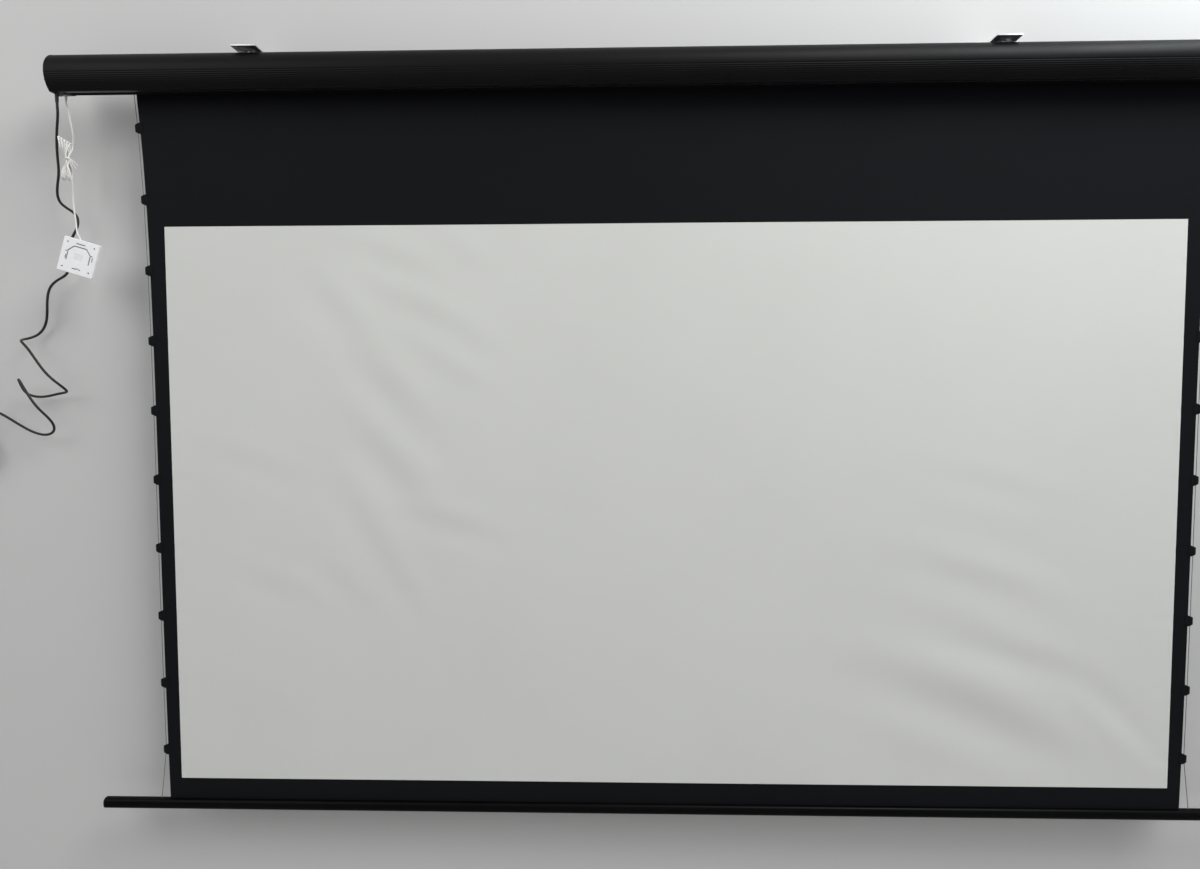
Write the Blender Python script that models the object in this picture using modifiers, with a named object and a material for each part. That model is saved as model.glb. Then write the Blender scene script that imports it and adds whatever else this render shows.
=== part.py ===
"""Motorized projector screen, 106 inch diagonal, 16:9, hung on two wall brackets.

Metres, +Z up. The origin is on the wall, level with the underside of the
bracket legs, at the middle of the casing. +X runs along the casing to the
right and -Y points out of the wall, towards the viewer. The screen is lowered.
"""
import math

import bmesh
import bpy
import numpy as np
from mathutils import Matrix, Vector

# Room left between pieces that rest on, or run in, each other
GAP = 0.0003
# How far a cutter runs past what it cuts
OVERRUN = 0.002

# Fabric: one laminated cloth, black with a white viewing area
WHITE_WIDTH = 2.347
WHITE_HEIGHT = 1.320
WHITE_THICK = 0.0003
BORDER_SIDE = 0.0295
BORDER_BOTTOM = 0.0503
BLACK_DROP = 0.2975
FABRIC_Y = -0.080
FABRIC_THICK = 0.0005
FABRIC_HALF_LOW = WHITE_WIDTH / 2 + BORDER_SIDE
FABRIC_SWELL = 0.005
FABRIC_FLARE = 0.022

# Soft waves in the hanging cloth: two patches (centre, spread, direction, length)
# and one broad roll (share, lengths, start)
WAVE_HEIGHT = 0.004
WAVE_PATCHES = (
    ((-0.62, -0.72), (0.55, 0.42), (0.55, -0.83), 0.052),
    ((0.85, -1.45), (0.50, 0.38), (0.42, 0.91), 0.047),
)
WAVE_ROLL = (0.35, 0.19, 0.24, 0.8)
WAVE_EDGE = 0.10
WAVE_TOP = 0.30
WAVE_LOW = 0.14

# Roller and the cloth left on it when the screen is down
TUBE_R = 0.0225
TUBE_WALL = 0.0012
WRAP_TURNS = 2
WRAP_HALF = FABRIC_HALF_LOW + FABRIC_SWELL + FABRIC_FLARE
WRAP_INNER_R = TUBE_R + GAP
WRAP_OUTER_R = WRAP_INNER_R + WRAP_TURNS * FABRIC_THICK

# Casing: aluminium extrusion, places in it are (u, v) from the roller axis
CASING_R = 0.044
CASING_WALL = 0.0018
CASING_PAST_CLOTH = 0.1712
CASING_HALF = WRAP_HALF + CASING_PAST_CLOTH
CASING_BELOW_WALL_LEG = 0.011
FRONT_R = CASING_R + 0.012
BOTTOM_V = -(CASING_R - 0.0015)
AXIS_Y = FABRIC_Y - WRAP_OUTER_R - GAP - FABRIC_THICK / 2
AXIS_Z = -(CASING_R + CASING_BELOW_WALL_LEG)
REAR_LIP_DEG = -26.0
FLUTE_COUNT = 9
FLUTE_DEPTH = 0.0005
FLUTE_FIRST_DEG = 184.0
FLUTE_LAST_DEG = 225.0
SLOT_MOUTH = 0.0085
SLOT_INNER = 0.015
SLOT_LIP = 0.002
SLOT_DEPTH = 0.0075
LIP_LENGTH = 0.004
LEDGE_REACH = 0.008
LEDGE_THICK = 0.0014
COVER_THICK = 0.0014
COVER_REAR_U = 0.0063
COVER_FLANGE = 0.006
PORT_ANGLES = (35.0, 203.0)
PORT_BOSS_R = 0.0034
PORT_HOLE_R = 0.0017
PORT_INSET = 0.0026
PORT_MOUTH = 0.0011

# End caps, with the foot that carries the cord outlet and the socket
CAP_THICK = 0.003
CAP_RIM = 0.0004
FOOT_LENGTH = 0.0307
FOOT_INNER_X = CASING_HALF - FOOT_LENGTH
FOOT_THICK = 0.0025
FOOT_LIP_CLEAR_DEG = 0.6
FLOOR_LOW_Z = AXIS_Z + BOTTOM_V
FLOOR_TOP_Z = FLOOR_LOW_Z + FOOT_THICK
SCREW_R = 0.0014
SCREW_HEAD_R = 0.0030
SCREW_HEAD_HEIGHT = 0.0016
SCREW_LENGTH = 0.012

# Cord outlet and socket in the left foot
CORD_INSET = 0.0057
CORD_X = -(CASING_HALF - CORD_INSET)
CORD_U = -0.0110
RELIEF_NECK_R = 0.0042
RELIEF_FLANGE_R = 0.0056
RELIEF_FLANGE = 0.0016
RELIEF_LENGTH = 0.020
RELIEF_TOP_R = 0.0050
RELIEF_TIP_R = 0.0042
JACK_X = CORD_X + 0.0118
JACK_U = 0.0043
JACK_BARREL_R = 0.0038
JACK_BARREL_ABOVE = 0.005
JACK_FLANGE_R = 0.0055
JACK_FLANGE_THICK = 0.0015
JACK_CHAMFER = 0.0006
JACK_BORE_R = 0.0021
JACK_PIN_R = 0.0017
BOOT_R = 0.0036
BOOT_TIP_R = 0.0024
BOOT_BODY = 0.007
BOOT_LENGTH = 0.012

# Receiver above them: a cover, open below, with its board on the socket's barrel
BOX_WALL = 0.0012
BOX_HEIGHT = 0.015
BOX_TOP_V = BOTTOM_V + FOOT_THICK + BOX_HEIGHT
BOX_FRONT_U = CORD_U - RELIEF_NECK_R - 0.0014
BOX_REAR_U = JACK_U + JACK_BARREL_R + 0.0031
BOX_END_GAP = 0.0004
BOX_FOOT_GAP = 0.0008
BOARD_THICK = 0.0012
RELAY = (0.008, 0.010, 0.0035)
CHIP = (0.007, 0.006, 0.0012)
PART_INSET = 0.004
LEAD_X = -(CASING_HALF - 0.0112)
LEAD_R = 0.0020
LEAD_HOLE_R = 0.0024

# Brackets inside the casing that carry the motor and the idler
PLATE_R = CASING_R - 0.0105
PLATE_THICK = 0.0022
PLATE_CUT_V = BOX_TOP_V + 0.0015
SPIGOT_SIDE = 0.010
SPIGOT_LENGTH = 0.0018
HEAD_R = 0.020
HEAD_LENGTH = 0.0300
HEAD_CLEAR = 0.0015
TUBE_HALF = CASING_HALF - PLATE_THICK - GAP - HEAD_LENGTH - HEAD_CLEAR
MOTOR_R = 0.0175
MOTOR_LENGTH = 0.470
CROWN_LENGTH = 0.012
SHAFT_R = 0.005
SHAFT_LENGTH = 0.024
WHEEL_LENGTH = 0.020
WHEEL_INSET = 0.002
PIN_R = 0.004
PIN_CLEAR = 0.0010
PIN_SHORT = 0.004
PIN_FLANGE_R = 0.008
PIN_FLANGE_THICK = 0.0022
BEARING_R = 0.011
BEARING_LENGTH = 0.008
BEARING_INSET = 0.006
PLUG_LENGTH = 0.026
PLUG_INSET = 0.0007

# Wall brackets
BRACKET_XS = (-0.952, 0.742)
BRACKET_WIDTH = 0.056
BRACKET_THICK = 0.003
BRACKET_LOW_Z = -0.0065
BRACKET_PAST_BOLT = 0.03565
BRACKET_REACH = -AXIS_Y + BRACKET_PAST_BOLT
BRACKET_BEND_R = 0.003
WALL_HOLE_R = 0.003
WALL_HOLE_ZS = (-0.030, -0.058)
BRACKET_DROP = -WALL_HOLE_ZS[1] + BRACKET_LOW_Z + 0.020
SHOULDER_R = 0.0060
NUT_HEIGHT = 0.005
BOLT_R = 0.003
BOLT_HEAD = (0.020, SLOT_INNER - 0.001, SLOT_DEPTH - SLOT_LIP - 0.0015)
BOLT_TOP_Z = BRACKET_LOW_Z + BRACKET_THICK + NUT_HEIGHT + 0.004
NUT_R = BOLT_R + 0.0028

# Bottom bar
BAR_R = 0.0125
BAR_WALL = 0.0016
BAR_CAP_THICK = 0.004
BAR_END_PLAY = 0.0065
BAR_HALF = FOOT_INNER_X - BAR_END_PLAY - BAR_CAP_THICK
BAR_SPIGOT = 0.012
BAR_ROUNDNESS = 2.7
WHITE_TOP_Z = FLOOR_LOW_Z - BLACK_DROP
BAR_Z = WHITE_TOP_Z - WHITE_HEIGHT - BORDER_BOTTOM - BAR_R
HEM_R = 0.003
DOCKED_RISE = 0.0025
DOCKED_BAR_Z = FLOOR_LOW_Z + DOCKED_RISE

# Edge tabs and tension cords
TAB_COUNT = 10
TAB_FIRST_Z = FLOOR_LOW_Z - 0.0709
TAB_LAST_Z = BAR_Z + BAR_R + 0.1209
TAB_BASE_HEIGHT = 0.027
TAB_TIP_HEIGHT = 0.016
TAB_OUTSIDE = 0.012
TAB_THICK = 0.0012
TAPE_WIDTH = 0.008
TAPE_TOP_Z = FLOOR_LOW_Z - 0.0025
TAPE_LOW_Z = BAR_Z + BAR_R + 0.0133
TENSION_R = 0.0008
TENSION_OUT = 0.005
TENSION_BAR_X = FABRIC_HALF_LOW + 0.0206
TENSION_BEND_ABOVE = 0.004
TENSION_SEAT = 0.003
BAR_SLOT = 2.0 * TENSION_R + 0.0016
ANCHOR_LENGTH = 0.015

# Wall control that hangs on the signal cord
PLATE_CENTRE = (-1.3640, -0.105, -0.4680)
PLATE_TURN_DEG = 16.6
CONTROL_W = 0.086
CONTROL_H = 0.080
CONTROL_CORNER_R = 0.004
CONTROL_BACK = 0.0045
CONTROL_FLOOR = 0.0020
CONTROL_RIM = 0.0020
COVER_FACE = -0.0045
COVER_INNER = -0.0023
TRAY_MOUTH = COVER_INNER + GAP
CORNER_HOLE_INSET = 0.0095
CORNER_HOLE_R = 0.0014
SIDE_SLOT = (0.0022, 0.014)
SIDE_SLOT_INSET = 0.013
SIDE_SLOT_RISE = 0.002
TOP_SLOT = (0.016, 0.0022)
TOP_SLOT_INSET = 0.0075
RIDGE_R = 0.021
RIDGE_WIDTH = 0.0024
RIDGE_HEIGHT = 0.0012
RIDGE_ENDS_DEG = (-35.0, 215.0)
WELD = 0.0005
CONTROL_BOARD_INSET = (0.018, 0.012)
BUTTON_W = 0.022
BUTTON_H = 0.013
BUTTON_PROUD = 0.0015
BUTTON_TRAVEL = 0.001
BUTTON_FLANGE = 0.0015
BUTTON_FLANGE_THICK = 0.0010
BUTTON_PITCH = BUTTON_H + 2.0 * BUTTON_FLANGE + 0.004
STEM_R = 0.002

# Mains cord: its free run is a list of points, its spare length a coil
POWER_R = 0.003
POWER_POINTS = [
    (-1.3955, -0.1154, -0.0975), (-1.3955, -0.1154, -0.118), (-1.397, -0.112, -0.139),
    (-1.409, -0.098, -0.170), (-1.427, -0.072, -0.232), (-1.430, -0.066, -0.267),
    (-1.440, -0.058, -0.303), (-1.439, -0.048, -0.331), (-1.424, -0.037, -0.346),
    (-1.406, -0.039, -0.364), (-1.405, -0.042, -0.386), (-1.420, -0.040, -0.412),
    (-1.431, -0.036, -0.468), (-1.442, -0.033, -0.497), (-1.461, -0.032, -0.509),
    (-1.483, -0.030, -0.526), (-1.496, -0.028, -0.587), (-1.511, -0.017, -0.621),
    (-1.532, -0.016, -0.642), (-1.545, -0.027, -0.650), (-1.547, -0.049, -0.655),
    (-1.523, -0.072, -0.670), (-1.480, -0.074, -0.728), (-1.454, -0.077, -0.752),
    (-1.442, -0.064, -0.768), (-1.445, -0.044, -0.778), (-1.476, -0.023, -0.784),
    (-1.539, -0.019, -0.791), (-1.557, -0.024, -0.783), (-1.564, -0.035, -0.762),
    (-1.554, -0.056, -0.750), (-1.532, -0.075, -0.764), (-1.494, -0.075, -0.820),
    (-1.480, -0.066, -0.840), (-1.475, -0.052, -0.861), (-1.488, -0.038, -0.878),
    (-1.516, -0.030, -0.884), (-1.544, -0.030, -0.876), (-1.600, -0.034, -0.842),
    (-1.640, -0.035, -0.822), (-1.680, -0.036, -0.815), (-1.712, -0.038, -0.830),
    (-1.728, -0.0382, -0.862),
]
POWER_SPACING = 0.0195
COIL_CENTRE = (-1.690, -0.035, -0.915)
COIL_OUTER_R = 0.0405
COIL_TURNS = 5
COIL_STEP = 0.0066
COIL_LAYER = 0.0066
COIL_TAIL = 0.034
COIL_LEAD = 0.006
TIE_WIDTH = 0.004
TIE_THICK = 0.0010
PLUG_PROFILE = ((0.0042, 0.0), (0.0080, 0.014), (0.0105, 0.022), (0.0105, 0.038), (0.0095, 0.041))
PLUG_PIN = (0.0064, 0.0015, 0.016)
PLUG_PIN_PITCH = 0.0127
PLUG_PIN_SEAT = 0.008

# Signal cord, with its spare length in a tied hank
SIGNAL_R = 0.00175
SIGNAL_UPPER = [
    (-1.3802, -0.1000, -0.1284), (-1.3757, -0.1002, -0.1504), (-1.3733, -0.1010, -0.1748),
    (-1.3738, -0.1035, -0.1982), (-1.3768, -0.1060, -0.2170),
]
SIGNAL_LOWER = [
    (-1.3932, -0.0896, -0.2665), (-1.3905, -0.0832, -0.2810), (-1.3880, -0.0810, -0.2980),
    (-1.3863, -0.0830, -0.3237), (-1.3817, -0.0885, -0.3568), (-1.3740, -0.0955, -0.3900),
    (-1.3630, -0.1020, -0.4010), (-1.3520, -0.1048, -0.4155),
]
HANK_LOOPS = 4
HANK_CENTRE = (-1.3852, -0.0990, -0.2400)
HANK_RUN = 0.0450
HANK_END_R = 0.0075
HANK_WAIST = 0.0027
HANK_STEP = 0.0040
HANK_YAW_DEG = 45.0
HANK_LEAN = 0.083
HANK_BOW = 0.147
HANK_BOW_SOFT = 0.010
HANK_FAN = 9.0
TAIL_R = 0.0007
TAILS = ((0.019, 0.022), (0.013, 0.029))

COLLECTION = bpy.data.collections.new("projector_screen")
CUTTERS = bpy.data.collections.new("cutters")


def clear_scene():
    """Remove what the file opened with, and link the two collections."""
    for item in list(bpy.data.objects):
        bpy.data.objects.remove(item, do_unlink=True)
    bpy.context.scene.collection.children.link(COLLECTION)
    bpy.context.scene.collection.children.link(CUTTERS)


clear_scene()


def finish_material(name, colour, roughness, metallic=0.0):
    """A Principled material with one colour, roughness and metallic value."""
    material = bpy.data.materials.new(name)
    material.use_nodes = True
    shader = material.node_tree.nodes["Principled BSDF"]
    shader.inputs["Base Color"].default_value = (*colour, 1.0)
    shader.inputs["Roughness"].default_value = roughness
    shader.inputs["Metallic"].default_value = metallic
    return material


BLACK_PAINT = finish_material("black_powder_coat", (0.012, 0.012, 0.013), 0.45)
BLACK_PLASTIC = finish_material("black_plastic", (0.015, 0.015, 0.016), 0.5)
BLACK_CLOTH = finish_material("black_cloth", (0.010, 0.011, 0.012), 0.8)
WHITE_CLOTH = finish_material("white_screen", (0.80, 0.80, 0.79), 0.75)
WHITE_PLASTIC = finish_material("white_plastic", (0.85, 0.86, 0.86), 0.4)
GREY_PLASTIC = finish_material("grey_plastic", (0.35, 0.35, 0.34), 0.5)
WHITE_CORD = finish_material("white_cord", (0.82, 0.81, 0.78), 0.5)
BLACK_CORD = finish_material("black_cord", (0.013, 0.013, 0.013), 0.55)
TENSION_CORD = finish_material("grey_tension_cord", (0.16, 0.15, 0.14), 0.6)
ALUMINIUM = finish_material("aluminium", (0.62, 0.63, 0.64), 0.35, 1.0)
ZINC_STEEL = finish_material("zinc_steel", (0.50, 0.50, 0.50), 0.42, 1.0)
BOARD_GREEN = finish_material("circuit_board", (0.04, 0.16, 0.07), 0.5)


def place(obj, name, material, collection=COLLECTION):
    """Name an object, give it its material and put it in its collection."""
    obj.name = name
    obj.data.name = name
    obj.data.materials.clear()
    obj.data.materials.append(material)
    for owner in list(obj.users_collection):
        owner.objects.unlink(obj)
    collection.objects.link(obj)
    return obj


def box(name, low, high, material, bevel=0.0):
    """A box between two corners, with its edges rounded when bevel is given."""
    low = Vector(low)
    high = Vector(high)
    bpy.ops.mesh.primitive_cube_add(size=1.0, location=(low + high) / 2)
    obj = bpy.context.object
    obj.data.transform(Matrix.Diagonal((*(high - low), 1.0)))
    if bevel:
        rounding = obj.modifiers.new("edges", "BEVEL")
        rounding.width = bevel
        rounding.segments = 2
    return place(obj, name, material)


AXIS_TURNS = {
    "x": (0.0, math.pi / 2, 0.0),
    "y": (math.pi / 2, 0.0, 0.0),
    "z": (0.0, 0.0, 0.0),
}


def rod(name, axis, centre, low, high, radius, material, sides=32):
    """A round bar along a world axis, from low to high on that axis."""
    middle = Vector(centre)
    middle["xyz".index(axis)] = (low + high) / 2
    bpy.ops.mesh.primitive_cylinder_add(
        vertices=sides, radius=radius, depth=high - low,
        location=middle, rotation=AXIS_TURNS[axis],
    )
    obj = bpy.context.object
    obj.data.shade_smooth()
    obj.data.set_sharp_from_angle(angle=math.radians(40))
    return place(obj, name, material)


def turned(name, profile, axis, centre, material, sides=40):
    """A turned piece: (radius, along) points from its top down, spun about an axis."""
    mesh = bpy.data.meshes.new(name)
    points = [(radius, 0.0, along) for radius, along in profile]
    closed = [(i, (i + 1) % len(points)) for i in range(len(points))]
    mesh.from_pydata(points, closed, [])
    obj = bpy.data.objects.new(name, mesh)
    screw = obj.modifiers.new("turn", "SCREW")
    screw.axis = "Z"
    screw.steps = sides
    screw.render_steps = sides
    screw.use_merge_vertices = True
    screw.merge_threshold = 0.00001
    screw.use_smooth_shade = True
    obj.rotation_euler = AXIS_TURNS[axis]
    obj.location = centre
    bpy.context.scene.collection.objects.link(obj)
    return place(obj, name, material)


def ring_profile(inner, outer, low, high):
    """The profile of a plain ring, in the order that turned() wants."""
    return [(outer, high), (outer, low), (inner, low), (inner, high)]


def flat_outline(name, loops, thickness, material):
    """A flat outline with holes: a filled 2D curve extruded to its thickness."""
    curve = bpy.data.curves.new(name, "CURVE")
    curve.dimensions = "2D"
    curve.fill_mode = "BOTH"
    curve.extrude = thickness / 2
    for loop in loops:
        spline = curve.splines.new("POLY")
        spline.points.add(len(loop) - 1)
        for point, (a, b) in zip(spline.points, loop):
            point.co = (a, b, 0.0, 1.0)
        spline.use_cyclic_u = True
    obj = bpy.data.objects.new(name, curve)
    bpy.context.scene.collection.objects.link(obj)
    return place(obj, name, material)


def to_mesh(obj):
    """The same object as a welded mesh, so that it can be cut or joined."""
    bpy.context.view_layer.update()
    graph = bpy.context.evaluated_depsgraph_get()
    mesh = bpy.data.meshes.new_from_object(obj.evaluated_get(graph))
    work = bmesh.new()
    work.from_mesh(mesh)
    bmesh.ops.remove_doubles(work, verts=work.verts, dist=0.000002)
    bmesh.ops.recalc_face_normals(work, faces=work.faces)
    work.to_mesh(mesh)
    work.free()
    name = obj.name
    material = obj.data.materials[0]
    turned_obj = bpy.data.objects.new(name, mesh)
    turned_obj.matrix_world = obj.matrix_world.copy()
    bpy.data.objects.remove(obj, do_unlink=True)
    bpy.context.scene.collection.objects.link(turned_obj)
    return place(turned_obj, name, material)


def extrusion(name, loops, low, high, material):
    """A profile of (u, v) points about the roller axis, run along X."""
    obj = flat_outline(name, loops, high - low, material)
    obj.rotation_euler = (math.pi / 2, 0.0, math.pi / 2)
    obj.location = ((low + high) / 2, AXIS_Y, AXIS_Z)
    return obj


def combine(target, tools, operation):
    """Add each tool to the target as a Boolean; the tools become hidden guides."""
    for tool in tools:
        modifier = target.modifiers.new("boolean", "BOOLEAN")
        modifier.operation = operation
        modifier.object = tool
        tool.hide_render = True
        tool.display_type = "WIRE"
        for owner in list(tool.users_collection):
            owner.objects.unlink(tool)
        CUTTERS.objects.link(tool)
    return target


def cut(target, *tools):
    return combine(target, tools, "DIFFERENCE")


def join(target, *tools):
    return combine(target, tools, "UNION")


def arc(cu, cv, radius, start_deg, end_deg, count):
    """Points on an arc, both ends included."""
    angles = np.radians(np.linspace(start_deg, end_deg, count))
    return [(cu + radius * math.cos(a), cv + radius * math.sin(a)) for a in angles]


def hole_loop(x, y, radius, count=16):
    """A round hole in a flat outline, just clear of a round bar of that radius."""
    reach = radius / math.cos(math.pi / count)
    return arc(x, y, reach, 360.0 - 360.0 / count, 0.0, count)


def smooth_path(points, spacing):
    """Even points on the natural cubic spline through chosen points."""
    points = np.array(points, dtype=float)
    steps = np.linalg.norm(np.diff(points, axis=0), axis=1)
    at = np.concatenate([[0.0], np.cumsum(steps)])
    count = len(points)
    system = np.eye(count)
    right = np.zeros((count, 3))
    for i in range(1, count - 1):
        before = at[i] - at[i - 1]
        after = at[i + 1] - at[i]
        system[i, i - 1] = before
        system[i, i] = 2.0 * (before + after)
        system[i, i + 1] = after
        rise = (points[i + 1] - points[i]) / after - (points[i] - points[i - 1]) / before
        right[i] = 6.0 * rise
    bend = np.linalg.solve(system, right)
    total = max(2, int(round(at[-1] / spacing)) + 1)
    where = np.linspace(0.0, at[-1], total)
    index = np.clip(np.searchsorted(at, where, side="right") - 1, 0, count - 2)
    gap = (at[index + 1] - at[index])[:, None]
    a = ((at[index + 1] - where)[:, None]) / gap
    b = 1.0 - a
    curve = a * points[index] + b * points[index + 1]
    curve += ((a**3 - a) * bend[index] + (b**3 - b) * bend[index + 1]) * gap**2 / 6.0
    return curve


def tube(name, points, radius, resolution, material):
    """A round tube along points: a bevelled POLY curve with filled caps."""
    curve = bpy.data.curves.new(name, "CURVE")
    curve.dimensions = "3D"
    curve.bevel_depth = radius
    curve.bevel_resolution = resolution
    curve.use_fill_caps = True
    spline = curve.splines.new("POLY")
    spline.points.add(len(points) - 1)
    for point, (x, y, z) in zip(spline.points, points):
        point.co = (x, y, z, 1.0)
    obj = bpy.data.objects.new(name, curve)
    bpy.context.scene.collection.objects.link(obj)
    return place(obj, name, material)


def self_gap(points, radius, skip):
    """The least air gap between stretches of a tube that lie apart along it."""
    points = np.array(points, dtype=float)
    apart = np.linalg.norm(points[:, None, :] - points[None, :, :], axis=2)
    index = np.arange(len(points))
    near = np.abs(index[:, None] - index[None, :]) < skip
    apart[near] = 1.0
    return float(apart.min()) - 2.0 * radius


def world_uv(u, v):
    """World Y and Z of a place given from the roller axis."""
    return AXIS_Y + u, AXIS_Z + v


def port_path(cu, cv, radius, angle_deg):
    """A screw port on the inner wall, walked clockwise, as a boss with an open bore."""
    outward = Vector((math.cos(math.radians(angle_deg)), math.sin(math.radians(angle_deg))))
    back = Vector((-outward.y, outward.x))
    middle = Vector((cu, cv)) + outward * (radius - PORT_INSET)
    wall_half = math.degrees(math.acos(PORT_INSET / PORT_BOSS_R))
    boss_mouth = 180.0 - math.degrees(math.asin(PORT_MOUTH / PORT_BOSS_R))
    bore_mouth = 180.0 - math.degrees(math.asin(PORT_MOUTH / PORT_HOLE_R))

    def stretch(reach, start, end, count):
        path = []
        for turn in np.radians(np.linspace(start, end, count)):
            point = middle + reach * (math.cos(turn) * outward + math.sin(turn) * back)
            path.append((point.x, point.y))
        return path

    return (
        stretch(PORT_BOSS_R, wall_half, boss_mouth, 5)
        + stretch(PORT_HOLE_R, bore_mouth, -bore_mouth, 8)
        + stretch(PORT_BOSS_R, -boss_mouth, -wall_half, 5)
    )


def port_half_deg(radius):
    """Half of the angle that a port covers on its wall."""
    reach = math.sqrt(PORT_BOSS_R**2 - PORT_INSET**2)
    return math.degrees(math.atan2(reach, radius))


FRONT_CENTRE_U = FRONT_R - CASING_R
CORNER_DEG = 180.0 + math.degrees(math.asin(-BOTTOM_V / FRONT_R))
CORNER_U = FRONT_CENTRE_U + FRONT_R * math.cos(math.radians(CORNER_DEG))
LIP_END_U = CORNER_U + LIP_LENGTH
LEDGE_END_U = CORNER_U + LEDGE_REACH
LEDGE_LOW_V = BOTTOM_V + COVER_THICK + GAP
LEDGE_TOP_V = LEDGE_LOW_V + LEDGE_THICK
INNER_R = CASING_R - CASING_WALL
FRONT_INNER_R = FRONT_R - CASING_WALL


def fluted_front():
    """The outer front, from mid height down to the corner, with its shallow flutes."""
    points = arc(FRONT_CENTRE_U, 0.0, FRONT_R, 180.0, FLUTE_FIRST_DEG, 2)
    steps = FLUTE_COUNT * 4
    for i in range(1, steps):
        angle = math.radians(
            FLUTE_FIRST_DEG + (FLUTE_LAST_DEG - FLUTE_FIRST_DEG) * i / steps
        )
        dip = FLUTE_DEPTH * 0.5 * (1.0 - math.cos(2.0 * math.pi * i / 4))
        reach = FRONT_R - dip
        points.append((FRONT_CENTRE_U + reach * math.cos(angle), reach * math.sin(angle)))
    points += arc(FRONT_CENTRE_U, 0.0, FRONT_R, FLUTE_LAST_DEG, CORNER_DEG, 3)
    return points


def casing_outline():
    """The extrusion's section: outer skin, hanging channel, inner wall and ports."""
    mouth = SLOT_MOUTH / 2
    mouth_deg = math.degrees(math.asin(mouth / CASING_R))
    half = SLOT_INNER / 2
    floor = CASING_R - SLOT_DEPTH
    outer = arc(0.0, 0.0, CASING_R, REAR_LIP_DEG, 90.0 - mouth_deg, 22)
    outer += [
        (mouth, CASING_R - SLOT_LIP), (half, CASING_R - SLOT_LIP), (half, floor),
        (-half, floor), (-half, CASING_R - SLOT_LIP), (-mouth, CASING_R - SLOT_LIP),
    ]
    outer += arc(0.0, 0.0, CASING_R, 90.0 + mouth_deg, 180.0, 18)[:-1]
    outer += fluted_front()
    outer += [(LIP_END_U, BOTTOM_V), (LIP_END_U, LEDGE_LOW_V), (LEDGE_END_U, LEDGE_LOW_V),
              (LEDGE_END_U, LEDGE_TOP_V)]

    ledge_deg = 180.0 + math.degrees(math.asin(-LEDGE_TOP_V / FRONT_INNER_R))
    rear_port, front_port = PORT_ANGLES
    half_port = port_half_deg(FRONT_INNER_R)
    inner = arc(FRONT_CENTRE_U, 0.0, FRONT_INNER_R, ledge_deg, front_port + half_port, 6)[:-1]
    inner += port_path(FRONT_CENTRE_U, 0.0, FRONT_INNER_R, front_port)
    inner += arc(FRONT_CENTRE_U, 0.0, FRONT_INNER_R, front_port - half_port, 180.0, 6)[1:]

    wall = half + CASING_WALL
    wall_deg = math.degrees(math.acos(wall / INNER_R))
    half_port = port_half_deg(INNER_R)
    inner += arc(0.0, 0.0, INNER_R, 180.0, 180.0 - wall_deg, 16)[1:]
    inner += [(-wall, floor - CASING_WALL), (wall, floor - CASING_WALL)]
    inner += arc(0.0, 0.0, INNER_R, wall_deg, rear_port + half_port, 7)[:-1]
    inner += port_path(0.0, 0.0, INNER_R, rear_port)
    inner += arc(0.0, 0.0, INNER_R, rear_port - half_port, REAR_LIP_DEG, 10)[1:]
    return outer + inner


def make_casing():
    extrusion("casing_shell", [casing_outline()], -CASING_HALF, CASING_HALF, BLACK_PAINT)
    hook_u = LEDGE_END_U + GAP
    hook_top = LEDGE_TOP_V + GAP
    front = LIP_END_U + GAP
    strip = [
        (front, BOTTOM_V), (COVER_REAR_U, BOTTOM_V),
        (COVER_REAR_U, BOTTOM_V + COVER_FLANGE),
        (COVER_REAR_U - COVER_THICK, BOTTOM_V + COVER_FLANGE),
        (COVER_REAR_U - COVER_THICK, BOTTOM_V + COVER_THICK),
        (hook_u + COVER_THICK, BOTTOM_V + COVER_THICK),
        (hook_u + COVER_THICK, hook_top + COVER_THICK),
        (front, hook_top + COVER_THICK), (front, hook_top),
        (hook_u, hook_top), (hook_u, BOTTOM_V + COVER_THICK),
        (front, BOTTOM_V + COVER_THICK),
    ]
    half = FOOT_INNER_X - GAP
    extrusion("bottom_cover", [strip], -half, half, BLACK_PAINT)


def cap_outline(grow=0.0):
    """The closed end of the casing's section, with its floor taken to the rear."""
    radius = CASING_R + grow
    low = BOTTOM_V - grow
    rear = math.degrees(math.asin(low / radius))
    front_radius = FRONT_R + grow
    corner = 180.0 + math.degrees(math.asin(-low / front_radius))
    points = arc(0.0, 0.0, radius, rear, 180.0, 34)[:-1]
    points += arc(FRONT_CENTRE_U, 0.0, front_radius, 180.0, corner, 9)
    return points


def port_centre(index):
    """Where a screw port's bore lies, from the roller axis."""
    angle = math.radians(PORT_ANGLES[index])
    if index == 1:
        reach = FRONT_INNER_R - PORT_INSET
        return FRONT_CENTRE_U + reach * math.cos(angle), reach * math.sin(angle)
    reach = INNER_R - PORT_INSET
    return reach * math.cos(angle), reach * math.sin(angle)


def foot_outline():
    """The foot's section: a floor under the ledge, then round to the rear lip."""
    inner = CASING_R - FOOT_THICK
    top_v = BOTTOM_V + FOOT_THICK
    turn = math.degrees(math.asin(top_v / inner))
    floor_start = math.degrees(math.asin(BOTTOM_V / CASING_R))
    lip = REAR_LIP_DEG - FOOT_LIP_CLEAR_DEG
    points = [(LIP_END_U + GAP, BOTTOM_V)]
    points += arc(0.0, 0.0, CASING_R, floor_start, lip, 8)
    points += arc(0.0, 0.0, inner, lip, turn, 8)
    points += [(LEDGE_END_U + GAP, top_v), (LEDGE_END_U + GAP, BOTTOM_V + COVER_THICK),
               (LIP_END_U + GAP, BOTTOM_V + COVER_THICK)]
    return points


CAP_INNER_X = CASING_HALF + GAP
CAP_OUTER_X = CAP_INNER_X + CAP_THICK


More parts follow.
